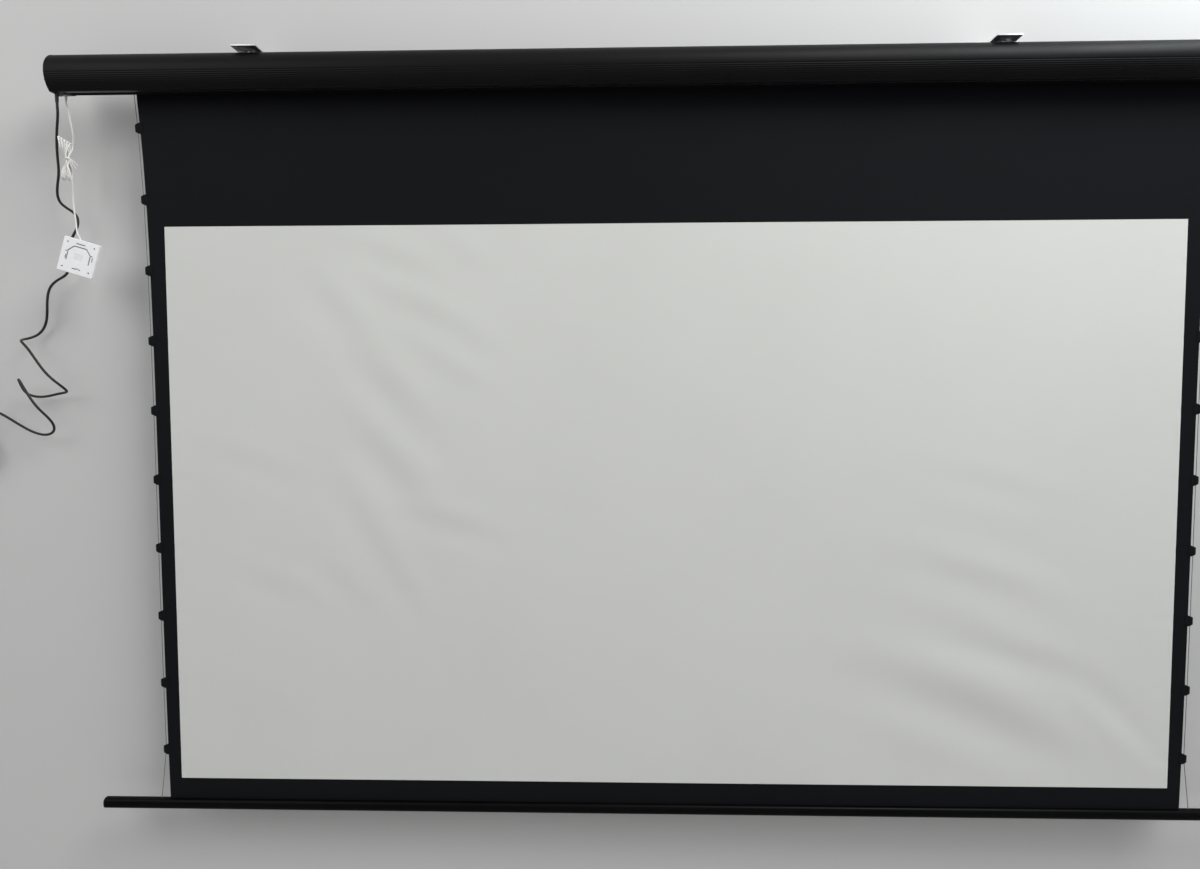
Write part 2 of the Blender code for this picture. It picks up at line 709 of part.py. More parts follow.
def make_end_caps():
    """A moulded cap on each end, its foot inside, and the screws into the casing's ports."""
    for side, word in ((-1, "left"), (1, "right")):
        ends = sorted((side * CAP_INNER_X, side * CAP_OUTER_X))
        plate = to_mesh(extrusion(f"end_cap_{word}", [cap_outline(CAP_RIM)], *ends,
                                  BLACK_PLASTIC))
        ends = sorted((side * FOOT_INNER_X, side * (CAP_INNER_X + CAP_THICK / 2)))
        foot = to_mesh(extrusion(f"foot_{word}", [foot_outline()], *ends, BLACK_PLASTIC))
        join(plate, foot)
        holes = []
        for index, place_word in enumerate(("upper", "lower")):
            centre = (0.0, *world_uv(*port_centre(index)))
            low, high = sorted((side * (CAP_INNER_X - OVERRUN), side * (CAP_OUTER_X + OVERRUN)))
            holes.append(rod("cap_hole", "x", centre, low, high, SCREW_R + GAP,
                             BLACK_PLASTIC, 16))
            profile = [
                (0.0, SCREW_HEAD_HEIGHT), (SCREW_HEAD_R * 0.6, SCREW_HEAD_HEIGHT),
                (SCREW_HEAD_R, SCREW_HEAD_HEIGHT * 0.4), (SCREW_HEAD_R, 0.0),
                (SCREW_R, 0.0), (SCREW_R, -SCREW_LENGTH), (0.0, -SCREW_LENGTH),
            ]
            seat = (side * (CAP_OUTER_X + GAP), centre[1], centre[2])
            screw = spun_solid(f"cap_screw_{word}_{place_word}", profile, seat, ZINC_STEEL, 12)
            screw.rotation_euler = (0.0, side * math.pi / 2, 0.0)
        if side < 0:
            low, high = FLOOR_LOW_Z - OVERRUN, FLOOR_TOP_Z + OVERRUN
            holes.append(rod("cord_hole", "z", (CORD_X, AXIS_Y + CORD_U, 0.0), low, high,
                             RELIEF_NECK_R + GAP, BLACK_PLASTIC, 24))
            holes.append(rod("jack_hole", "z", (JACK_X, AXIS_Y + JACK_U, 0.0), low, high,
                             JACK_BARREL_R + GAP, BLACK_PLASTIC, 24))
        cut(plate, *holes)


def make_cord_outlet():
    """The strain relief of the mains cord, the socket and the plug in it."""
    top = FLOOR_TOP_Z
    low = FLOOR_LOW_Z - GAP
    bore = POWER_R + GAP
    profile = [
        (RELIEF_NECK_R, top), (RELIEF_NECK_R, low), (RELIEF_FLANGE_R, low),
        (RELIEF_FLANGE_R, low - RELIEF_FLANGE),
        (RELIEF_TOP_R, low - RELIEF_FLANGE),
        (RELIEF_TIP_R, low - RELIEF_LENGTH), (bore, low - RELIEF_LENGTH), (bore, top),
    ]
    centre = (CORD_X, AXIS_Y + CORD_U, 0.0)
    turned("cord_strain_relief", profile, "z", centre, BLACK_PLASTIC, 20)

    barrel_top = FLOOR_TOP_Z + JACK_BARREL_ABOVE
    flange_low = low - JACK_FLANGE_THICK
    profile = [
        (JACK_BARREL_R, barrel_top), (JACK_BARREL_R, low), (JACK_FLANGE_R, low),
        (JACK_FLANGE_R - JACK_CHAMFER, flange_low), (JACK_BORE_R, flange_low),
        (JACK_BORE_R, barrel_top),
    ]
    centre = (JACK_X, AXIS_Y + JACK_U, 0.0)
    turned("signal_jack", profile, "z", centre, GREY_PLASTIC, 20)

    boot_top = flange_low - GAP
    boot_low = boot_top - BOOT_LENGTH
    path = [
        (0.0, barrel_top), (JACK_PIN_R, barrel_top - JACK_PIN_R / 2), (JACK_PIN_R, boot_top),
        (BOOT_R, boot_top), (BOOT_R, boot_top - BOOT_BODY), (BOOT_TIP_R, boot_low),
        (0.0, boot_low),
    ]
    spun_solid("signal_plug", path, centre, GREY_PLASTIC, 16)
    return boot_low


def spun_solid(name, path, centre, material, sides):
    """A solid of turning about Z, its profile given from the top of the axis down."""
    mesh = bpy.data.meshes.new(name)
    mesh.from_pydata([(r, 0.0, a) for r, a in path],
                     [(i, i + 1) for i in range(len(path) - 1)], [])
    obj = bpy.data.objects.new(name, mesh)
    spin = obj.modifiers.new("turn", "SCREW")
    spin.steps = sides
    spin.render_steps = sides
    spin.use_merge_vertices = True
    spin.merge_threshold = 0.00001
    spin.use_smooth_shade = True
    obj.location = centre
    bpy.context.scene.collection.objects.link(obj)
    return place(obj, name, material)


def make_control_box():
    """The receiver's cover, its board with a relay and a chip, and the motor's lead."""
    left = -(CASING_HALF - BOX_END_GAP)
    right = -(FOOT_INNER_X + BOX_FOOT_GAP)
    y_front, _ = world_uv(BOX_FRONT_U + GAP, 0.0)
    y_rear, top = world_uv(BOX_REAR_U, BOX_TOP_V)
    low = FLOOR_TOP_Z + GAP
    shell = box("control_box", (left, y_front, low), (right, y_rear, top), BLACK_PLASTIC)
    inside = box("box_inside", (left + BOX_WALL, y_front + BOX_WALL, low - OVERRUN),
                 (right - BOX_WALL, y_rear - BOX_WALL, top - BOX_WALL), BLACK_PLASTIC)
    lead_hole = rod("lead_hole", "z", (LEAD_X, AXIS_Y, 0.0), top - BOX_WALL - OVERRUN,
                    top + OVERRUN, LEAD_HOLE_R, BLACK_PLASTIC, 16)
    cut(shell, inside, lead_hole)

    room = BOX_WALL + GAP
    board_low = FLOOR_TOP_Z + JACK_BARREL_ABOVE + GAP
    board_high = board_low + BOARD_THICK
    board = box("circuit_board", (left + room, y_front + room, board_low),
                (right - room, y_rear - room, board_high), BOARD_GREEN)
    part_right = right - PART_INSET
    relay = box("relay", (part_right - RELAY[0], y_front + PART_INSET, board_high - WELD),
                (part_right, y_front + PART_INSET + RELAY[1], board_high + RELAY[2]), BOARD_GREEN)
    chip = box("chip", (part_right - CHIP[0], y_rear - PART_INSET - CHIP[1], board_high - WELD),
               (part_right, y_rear - PART_INSET, board_high + CHIP[2]), BOARD_GREEN)
    join(board, relay, chip)
    rod("motor_lead", "z", (LEAD_X, AXIS_Y, 0.0), top - BOX_WALL + GAP, AXIS_Z - HEAD_R - GAP,
        LEAD_R, BLACK_CORD, 12)


def bracket_plate(name, side, opening):
    """A steel carrier plate riveted to the end cap, cut flat above the foot."""
    cut_deg = math.degrees(math.asin(PLATE_CUT_V / PLATE_R))
    outline = arc(0.0, 0.0, PLATE_R, cut_deg, 180.0 - cut_deg, 30)
    ends = sorted((side * (CASING_HALF - PLATE_THICK), side * CASING_HALF))
    return extrusion(name, [outline, opening], *ends, ZINC_STEEL)


def make_motor_and_idler():
    """The tubular motor on the left, the idler pin and bearing on the right."""
    half_hole = SPIGOT_SIDE / 2 + GAP
    square = [(half_hole, half_hole), (-half_hole, half_hole), (-half_hole, -half_hole),
              (half_hole, -half_hole)]
    bracket_plate("motor_bracket", -1, square)
    round_hole = arc(0.0, 0.0, PIN_R + GAP, 345.0, 0.0, 24)
    bracket_plate("idler_bracket", 1, round_hole)

    centre = (0.0, AXIS_Y, AXIS_Z)
    plate_x = -(CASING_HALF - PLATE_THICK)
    head_low = plate_x + GAP
    head_high = head_low + HEAD_LENGTH
    head = rod("motor_head", "x", centre, head_low, head_high, HEAD_R, BLACK_PLASTIC, 40)
    half = SPIGOT_SIDE / 2
    spigot = box("spigot", (head_low - SPIGOT_LENGTH, AXIS_Y - half, AXIS_Z - half),
                 (head_low + OVERRUN, AXIS_Y + half, AXIS_Z + half), BLACK_PLASTIC)
    join(head, spigot)
    motor_low = head_high + GAP
    motor_high = motor_low + MOTOR_LENGTH
    rod("motor_tube", "x", centre, motor_low, motor_high, MOTOR_R, ALUMINIUM, 40)
    tube_inner = TUBE_R - TUBE_WALL
    crown_low = -TUBE_HALF
    turned("limit_crown", ring_profile(MOTOR_R + GAP, tube_inner - GAP, 0.0, CROWN_LENGTH),
           "x", (crown_low, AXIS_Y, AXIS_Z), BLACK_PLASTIC)
    shaft_low = motor_high + GAP
    rod("motor_shaft", "x", centre, shaft_low, shaft_low + SHAFT_LENGTH, SHAFT_R, ZINC_STEEL, 24)
    wheel_low = shaft_low + WHEEL_INSET
    turned("drive_wheel", ring_profile(SHAFT_R + GAP, tube_inner - GAP, 0.0, WHEEL_LENGTH),
           "x", (wheel_low, AXIS_Y, AXIS_Z), BLACK_PLASTIC)

    turned("roller_tube", ring_profile(tube_inner, TUBE_R, -TUBE_HALF, TUBE_HALF),
           "x", centre, ALUMINIUM, 48)
    turned("wound_fabric", ring_profile(WRAP_INNER_R, WRAP_OUTER_R, -WRAP_HALF, WRAP_HALF),
           "x", centre, BLACK_CLOTH, 48)

    plug_high = TUBE_HALF - PLUG_INSET
    plug_low = plug_high - PLUG_LENGTH
    seat = plug_high - BEARING_INSET - BEARING_LENGTH - GAP
    race = BEARING_R + GAP
    bore = PIN_R + PIN_CLEAR
    profile = [
        (tube_inner - GAP, plug_high), (tube_inner - GAP, plug_low), (bore, plug_low),
        (bore, seat), (race, seat), (race, plug_high),
    ]
    turned("idler_plug", profile, "x", centre, BLACK_PLASTIC)
    turned("idler_bearing", ring_profile(PIN_R + GAP, BEARING_R, 0.0, BEARING_LENGTH),
           "x", (seat + GAP, AXIS_Y, AXIS_Z), ZINC_STEEL)
    flange_high = CASING_HALF - PLATE_THICK - GAP
    pin = rod("idler_pin", "x", centre, plug_low + PIN_SHORT, CASING_HALF - GAP, PIN_R,
              ZINC_STEEL, 24)
    flange = rod("pin_flange", "x", centre, flange_high - PIN_FLANGE_THICK, flange_high,
                 PIN_FLANGE_R, ZINC_STEEL, 24)
    join(pin, flange)


def make_wall_brackets():
    """Two L-brackets, each with a shouldered T-bolt from the casing's channel and a nut."""
    inner_r = BRACKET_BEND_R
    outer_r = BRACKET_BEND_R + BRACKET_THICK
    bend_y = -BRACKET_THICK - inner_r
    for x, word in zip(BRACKET_XS, ("left", "right")):
        outline = [(-BRACKET_REACH, 0.0), (bend_y, 0.0)]
        outline += arc(bend_y, -inner_r, inner_r, 90.0, 0.0, 5)[1:]
        outline += [(-BRACKET_THICK, -BRACKET_DROP), (0.0, -BRACKET_DROP)]
        outline += arc(bend_y, -inner_r, outer_r, 0.0, 90.0, 7)
        outline += [(-BRACKET_REACH, BRACKET_THICK)]
        angle = flat_outline(f"wall_bracket_{word}", [outline], BRACKET_WIDTH, ZINC_STEEL)
        angle.rotation_euler = (math.pi / 2, 0.0, math.pi / 2)
        angle.location = (x, 0.0, BRACKET_LOW_Z)
        angle = to_mesh(angle)
        holes = [rod("bolt_hole", "z", (x, AXIS_Y, 0.0), BRACKET_LOW_Z - OVERRUN,
                     BRACKET_LOW_Z + BRACKET_THICK + OVERRUN, BOLT_R + GAP, ZINC_STEEL, 20)]
        for z in WALL_HOLE_ZS:
            holes.append(rod("wall_hole", "y", (x, 0.0, z), -BRACKET_THICK - OVERRUN, OVERRUN,
                             WALL_HOLE_R, ZINC_STEEL, 20))
        cut(angle, *holes)

        lip_low = AXIS_Z + CASING_R - SLOT_LIP
        length, width, height = BOLT_HEAD
        bolt = box(f"hanger_bolt_{word}",
                   (x - length / 2, AXIS_Y - width / 2, lip_low - GAP - height),
                   (x + length / 2, AXIS_Y + width / 2, lip_low - GAP), ZINC_STEEL)
        shank = rod("shank", "z", (x, AXIS_Y, 0.0), lip_low - GAP - height / 2, BOLT_TOP_Z,
                    BOLT_R, ZINC_STEEL, 20)
        shoulder = rod("shoulder", "z", (x, AXIS_Y, 0.0), AXIS_Z + CASING_R + GAP,
                       BRACKET_LOW_Z - GAP, SHOULDER_R, ZINC_STEEL, 20)
        join(bolt, shank, shoulder)
        nut = flat_outline(f"hanger_nut_{word}",
                           [arc(0.0, 0.0, NUT_R, 0.0, 300.0, 6), hole_loop(0.0, 0.0, BOLT_R + GAP)],
                           NUT_HEIGHT, ZINC_STEEL)
        nut.location = (x, AXIS_Y, BRACKET_LOW_Z + BRACKET_THICK + GAP + NUT_HEIGHT / 2)


FABRIC_TOP_Z = AXIS_Z
HEM_Z = BAR_Z + BAR_R - BAR_WALL - HEM_R
FABRIC_LOW_Z = HEM_Z + HEM_R + GAP
FLARE_TOP_Z = DOCKED_BAR_Z
TAB_PITCH = (TAB_FIRST_Z - TAB_LAST_Z) / (TAB_COUNT - 1)


def fabric_half(z):
    """Half of the cloth's width at a height: it swells a little above the bar, stays nearly
    even, and flares out just below the casing."""
    share = np.clip((z - FABRIC_LOW_Z) / (FLARE_TOP_Z - FABRIC_LOW_Z), 0.0, 1.0)
    swell = FABRIC_SWELL * (1.0 - (1.0 - share) ** 5)
    return FABRIC_HALF_LOW + swell + FABRIC_FLARE * share**10


def soft_step(value):
    value = np.clip(value, 0.0, 1.0)
    return value * value * (3.0 - 2.0 * value)


def fabric_wave(x, z):
    """How far the hanging cloth stands out of its plane, nothing at its four sides."""
    share, across, down, start = WAVE_ROLL
    wave = share * np.sin(x / across + start) * np.sin(z / down)
    for (cx, cz), (spread_x, spread_z), (dx, dz), length in WAVE_PATCHES:
        near = np.exp(-(((x - cx) / spread_x) ** 2) - (((z - cz) / spread_z) ** 2))
        wave += near * np.sin((dx * x + dz * z) / length)
    wave *= soft_step((fabric_half(z) - np.abs(x)) / WAVE_EDGE)
    wave *= soft_step((FABRIC_TOP_Z - z) / WAVE_TOP) * soft_step((z - FABRIC_LOW_Z) / WAVE_LOW)
    return WAVE_HEIGHT * wave


def cloth_sheet(name, columns, rows, plane_y, thickness, follow_edge, material):
    """A grid of cloth on the wave, its columns and rows given, made solid."""
    bpy.ops.mesh.primitive_grid_add(
        x_subdivisions=len(columns) - 1, y_subdivisions=len(rows) - 1, size=1.0
    )
    obj = bpy.context.object
    for vertex in obj.data.vertices:
        column = int(round((vertex.co.x + 0.5) * (len(columns) - 1)))
        row = int(round((vertex.co.y + 0.5) * (len(rows) - 1)))
        x = columns[column]
        z = rows[row]
        if follow_edge and column in (0, len(columns) - 1):
            x = math.copysign(float(fabric_half(z)), x)
        y = plane_y + float(fabric_wave(x, z))
        vertex.co = (x, y, z)
    obj.data.update()
    solid = obj.modifiers.new("thickness", "SOLIDIFY")
    solid.thickness = thickness
    solid.offset = 0.0
    obj.data.shade_smooth()
    return place(obj, name, material)


def make_fabric():
    half = WHITE_WIDTH / 2
    white_columns = list(np.linspace(-half, half, 17))
    white_low = WHITE_TOP_Z - WHITE_HEIGHT
    white_rows = list(np.linspace(white_low, WHITE_TOP_Z, 13))
    columns = [-FABRIC_HALF_LOW] + white_columns + [FABRIC_HALF_LOW]
    rows = [FABRIC_LOW_Z] + white_rows + list(np.linspace(WHITE_TOP_Z, FABRIC_TOP_Z, 9))[1:]
    cloth_sheet("screen_fabric", columns, rows, FABRIC_Y, FABRIC_THICK, True, BLACK_CLOTH)
    front = FABRIC_Y - FABRIC_THICK / 2 - GAP - WHITE_THICK / 2
    cloth_sheet("viewing_surface", white_columns, white_rows, front, WHITE_THICK, False,
                WHITE_CLOTH)


def tab_heights():
    return [TAB_FIRST_Z - TAB_PITCH * i for i in range(TAB_COUNT)]


def make_tabs():
    """A tape along each edge of the cloth with its row of tabs, and the cord before it."""
    y_front = FABRIC_Y + FABRIC_THICK / 2 + GAP
    base, tip = TAB_BASE_HEIGHT / 2, TAB_TIP_HEIGHT / 2
    for side, word in ((-1, "left"), (1, "right")):
        heights = tab_heights()
        outer = [(float(fabric_half(TAPE_TOP_Z)), TAPE_TOP_Z)]
        for z in heights:
            edge = float(fabric_half(z))
            outer += [(float(fabric_half(z + base)), z + base), (edge + TAB_OUTSIDE, z + tip),
                      (edge + TAB_OUTSIDE, z - tip), (float(fabric_half(z - base)), z - base)]
        outer.append((float(fabric_half(TAPE_LOW_Z)), TAPE_LOW_Z))
        inner = [(float(fabric_half(z)) - TAPE_WIDTH, z) for z in
                 np.linspace(TAPE_LOW_Z, TAPE_TOP_Z, 16)]
        outline = [(side * x, z) for x, z in outer + inner]
        tape = flat_outline(f"edge_tabs_{word}", [outline], TAB_THICK, BLACK_CLOTH)
        tape.rotation_euler = (math.pi / 2, 0.0, 0.0)
        tape.location = (0.0, y_front + TAB_THICK / 2, 0.0)

        cord_y = y_front - TENSION_R - GAP
        edges = [float(fabric_half(z)) + TENSION_OUT for z in heights]
        top_x = float(fabric_half(FLARE_TOP_Z)) + TENSION_OUT
        path = [(side * top_x, cord_y, FABRIC_TOP_Z), (side * top_x, cord_y, FLARE_TOP_Z)]
        for z, x in zip(heights, edges):
            path.append((side * x, cord_y, z))
        bar_x = side * TENSION_BAR_X
        path += [(bar_x, cord_y, BAR_Z + BAR_R + TENSION_BEND_ABOVE),
                 (bar_x, cord_y, BAR_Z + TENSION_SEAT)]
        tube(f"tension_cord_{word}", path, TENSION_R, 1, TENSION_CORD)


def bar_section(radius, start_deg, end_deg, count):
    """A rounded-square section: a circle's points pushed out towards the corners."""
    points = []
    for angle in np.radians(np.linspace(start_deg, end_deg, count)):
        c, s = math.cos(angle), math.sin(angle)
        reach = (abs(c) ** BAR_ROUNDNESS + abs(s) ** BAR_ROUNDNESS) ** (-1.0 / BAR_ROUNDNESS)
        points.append((radius * reach * c, radius * reach * s))
    return points


def on_bar(obj, low, high):
    obj.rotation_euler = (math.pi / 2, 0.0, math.pi / 2)
    obj.location = ((low + high) / 2, FABRIC_Y, BAR_Z)
    return obj


def make_bar():
    inner_r = BAR_R - BAR_WALL
    outer_deg = math.degrees(math.atan2(BAR_SLOT / 2, BAR_R))
    inner_deg = math.degrees(math.atan2(BAR_SLOT / 2, inner_r))
    outline = bar_section(BAR_R, 90.0 + outer_deg, 450.0 - outer_deg, 41)
    outline += bar_section(inner_r, 450.0 - inner_deg, 90.0 + inner_deg, 41)
    bar = flat_outline("bottom_bar", [outline], 2 * BAR_HALF, BLACK_PAINT)
    on_bar(bar, -BAR_HALF, BAR_HALF)
    spigot_r = inner_r - GAP
    for side, word in ((-1, "left"), (1, "right")):
        low, high = sorted((side * (BAR_HALF + GAP), side * (BAR_HALF + BAR_CAP_THICK)))
        cap = flat_outline(f"bar_cap_{word}", [bar_section(BAR_R, 0.0, 360.0, 41)[:-1]],
                           high - low, BLACK_PLASTIC)
        cap = to_mesh(on_bar(cap, low, high))
        low, high = sorted((side * (BAR_HALF - BAR_SPIGOT),
                            side * (BAR_HALF + BAR_CAP_THICK / 2)))
        spigot = flat_outline("spigot", [bar_section(spigot_r, 0.0, 360.0, 25)[:-1]],
                              high - low, BLACK_PLASTIC)
        join(cap, to_mesh(on_bar(spigot, low, high)))

    rod("hem_rod", "x", (0.0, FABRIC_Y, HEM_Z), -FABRIC_HALF_LOW, FABRIC_HALF_LOW, HEM_R,
        ALUMINIUM, 16)
    cord_y = FABRIC_Y + FABRIC_THICK / 2 - TENSION_R
    for side, word in ((-1, "left"), (1, "right")):
        x = side * TENSION_BAR_X
        block = flat_outline(f"cord_anchor_{word}", [bar_section(spigot_r, 0.0, 360.0, 25)[:-1]],
                             ANCHOR_LENGTH, BLACK_PLASTIC)
        low = x - ANCHOR_LENGTH / 2
        block = to_mesh(on_bar(block, low, low + ANCHOR_LENGTH))
        bore = rod("cord_bore", "z", (x, cord_y, 0.0), BAR_Z + TENSION_SEAT - 2 * GAP,
                   BAR_Z + BAR_R + OVERRUN, TENSION_R + GAP, BLACK_PLASTIC, 12)
        cut(block, bore)


CONTROL_FRAME = (
    Matrix.Translation(PLATE_CENTRE)
    @ Matrix.Rotation(math.radians(PLATE_TURN_DEG), 4, "Y")
    @ Matrix.Rotation(math.pi / 2, 4, "X")
)


def rounded_box_outline(width, height, radius):
    w = width / 2 - radius
    h = height / 2 - radius
    points = []
    for cx, cy, start in ((w, h, 0.0), (-w, h, 90.0), (-w, -h, 180.0), (w, -h, 270.0)):
        points += arc(cx, cy, radius, start, start + 90.0, 5)
    return points


def control_slab(name, loops, low, high, material):
    """A flat outline in the wall control's own frame, between two of its depths."""
    obj = flat_outline(name, loops, high - low, material)
    obj.matrix_world = CONTROL_FRAME @ Matrix.Translation((0.0, 0.0, (low + high) / 2))
    return obj


def slot_loop(x, y, width, height):
    w, h = width / 2, height / 2
    return [(x - w, y - h), (x - w, y + h), (x + w, y + h), (x + w, y - h)]


def make_control():
    """The wall control: tray with its back to the viewer, cover and three buttons."""
    tray_outline = rounded_box_outline(CONTROL_W, CONTROL_H, CONTROL_CORNER_R)
    inner = rounded_box_outline(CONTROL_W - 2 * CONTROL_RIM, CONTROL_H - 2 * CONTROL_RIM,
                                CONTROL_CORNER_R - CONTROL_RIM / 2)
    hole_x = CONTROL_W / 2 - CORNER_HOLE_INSET
    hole_y = CONTROL_H / 2 - CORNER_HOLE_INSET
    corners = [(sx * hole_x, sy * hole_y) for sx in (-1, 1) for sy in (-1, 1)]
    holes = [hole_loop(x, y, CORNER_HOLE_R) for x, y in corners]
    slot_x = CONTROL_W / 2 - SIDE_SLOT_INSET
    slot_y = CONTROL_H / 2 - TOP_SLOT_INSET
    slots = [slot_loop(side * slot_x, SIDE_SLOT_RISE, *SIDE_SLOT) for side in (-1, 1)]
    slots += [slot_loop(0.0, side * slot_y, *TOP_SLOT) for side in (-1, 1)]
    floor_low = CONTROL_BACK - CONTROL_FLOOR
    tray = to_mesh(control_slab("control_plate", [tray_outline] + holes + slots, floor_low,
                                CONTROL_BACK, WHITE_PLASTIC))
    rim = to_mesh(control_slab("rim", [tray_outline, inner[::-1]], TRAY_MOUTH,
                               floor_low + WELD, WHITE_PLASTIC))
    first, last = RIDGE_ENDS_DEG
    ridge_outline = arc(0.0, 0.0, RIDGE_R, first, last, 22)
    ridge_outline += arc(0.0, 0.0, RIDGE_R - RIDGE_WIDTH, last, first, 22)
    ridge = to_mesh(control_slab("ridge", [ridge_outline], CONTROL_BACK - WELD,
                                 CONTROL_BACK + RIDGE_HEIGHT, WHITE_PLASTIC))
    join(tray, rim, ridge)
    reach = CONTROL_RIM + 2 * OVERRUN
    entry = rod("entry", "z", (0.0, 0.0, 0.0), -reach, reach, SIGNAL_R + GAP, WHITE_PLASTIC, 16)
    entry.matrix_world = (CONTROL_FRAME @ Matrix.Translation((0.0, CONTROL_H / 2, 0.0))
                          @ Matrix.Rotation(math.pi / 2, 4, "X"))
    cut(tray, entry)

    openings = [slot_loop(0.0, BUTTON_PITCH * i, BUTTON_W + 2 * GAP, BUTTON_H + 2 * GAP)
                for i in (-1, 0, 1)]
    control_slab("control_cover", [tray_outline] + openings, COVER_FACE, COVER_INNER,
                 WHITE_PLASTIC)
    board_high = floor_low - GAP
    inset_x, inset_y = CONTROL_BOARD_INSET
    board = slot_loop(0.0, 0.0, CONTROL_W - 2 * inset_x, CONTROL_H - 2 * inset_y)
    control_slab("control_board", [board[::-1]], board_high - BOARD_THICK, board_high,
                 BOARD_GREEN)
    for i, word in ((1, "up"), (0, "stop"), (-1, "down")):
        y = BUTTON_PITCH * i
        behind = COVER_INNER + GAP
        cap = to_mesh(control_slab(f"button_{word}",
                                   [slot_loop(0.0, y, BUTTON_W, BUTTON_H)[::-1]],
                                   COVER_FACE - BUTTON_PROUD, behind + WELD, WHITE_PLASTIC))
        flange = to_mesh(control_slab("flange", [slot_loop(0.0, y, BUTTON_W + 2 * BUTTON_FLANGE,
                                                           BUTTON_H + 2 * BUTTON_FLANGE)[::-1]],
                                      behind, behind + BUTTON_FLANGE_THICK, WHITE_PLASTIC))
        stem_high = board_high - BOARD_THICK - BUTTON_TRAVEL - GAP
        stem = to_mesh(control_slab("stem", [hole_loop(0.0, y, STEM_R)[::-1]],
                                    behind + BUTTON_FLANGE_THICK - WELD, stem_high,
                                    WHITE_PLASTIC))
        join(cap, flange, stem)


def coil_path():
    """The mains cord's spare length: in and out again in two layers, in one plane."""
    cx, cy, cz = COIL_CENTRE
    per_turn = 24
    half_turns = COIL_TURNS / 2
    first_depth = -COIL_LAYER / 2
    points = [(cx - COIL_OUTER_R, cy + first_depth, cz + COIL_LEAD)]
    for i in range(COIL_TURNS * per_turn + 1):
        turn = i / per_turn
        inward = turn if turn < half_turns else COIL_TURNS - turn
        radius = COIL_OUTER_R - COIL_STEP * inward
        climb = float(soft_step(turn - half_turns + 0.5))
        depth = first_depth + COIL_LAYER * climb
        angle = math.pi + 2.0 * math.pi * turn
        points.append((cx + radius * math.cos(angle), cy + depth, cz + radius * math.sin(angle)))
    x, y, z = points[-1]
    points += [(x, y, z - COIL_TAIL * share) for share in (0.5, 1.0)]
    return points


def hank_place(along, side, stack):
    """A place in the hank, from the middle of its waist: up, towards the viewer, across."""
    cx, cy, cz = HANK_CENTRE
    yaw = math.radians(HANK_YAW_DEG)
    bow = math.sqrt(along**2 + HANK_BOW_SOFT**2) - HANK_BOW_SOFT
    across = stack * (1.0 + HANK_FAN * max(0.0, along))
    x = cx - side * math.sin(yaw) - across * math.cos(yaw) - HANK_LEAN * along - HANK_BOW * bow
    y = cy - side * math.cos(yaw) + across * math.sin(yaw)
    return (x, y, cz + along)


def hank_path():
    """The signal cord's spare length: long loops side by side, drawn in at the waist."""
    points = []
    run, end_r = HANK_RUN, HANK_END_R

    def width(along):
        return HANK_WAIST + (end_r - HANK_WAIST) * float(soft_step(abs(along) / run))

    for i in range(HANK_LOOPS * 24 + 1):
        loop, step = divmod(i, 24)
        climb = float(np.clip((step - 9) / 6, 0.0, 1.0))
        if step <= 3:
            along = -run * step / 3
            side = width(along)
        elif step <= 9:
            turn = math.pi * (step - 3) / 6
            along = -run - end_r * math.sin(turn)
            side = end_r * math.cos(turn)
        elif step <= 15:
            along = -run + 2.0 * run * (step - 9) / 6
            side = -width(along)
        elif step <= 21:
            turn = math.pi * (step - 15) / 6
            along = run + end_r * math.sin(turn)
            side = -end_r * math.cos(turn)
        else:
            along = run * (24 - step) / 3
            side = width(along)
        stack = HANK_STEP * (loop + climb - HANK_LOOPS / 2)
        points.append(hank_place(along, side, stack))
    lead = 2.0 * SIGNAL_R
    first = hank_place(lead, HANK_WAIST, -HANK_STEP * HANK_LOOPS / 2)
    last = hank_place(-lead, HANK_WAIST, HANK_STEP * HANK_LOOPS / 2)
    return [first] + points + [last]


def next_to(path, from_start):
    """The place 0.3 mm beyond an end of a tube, straight on, and its direction."""
    here, inside = (path[0], path[1]) if from_start else (path[-1], path[-2])
    outward = (Vector(here) - Vector(inside)).normalized()
    return Vector(here) + outward * GAP, outward


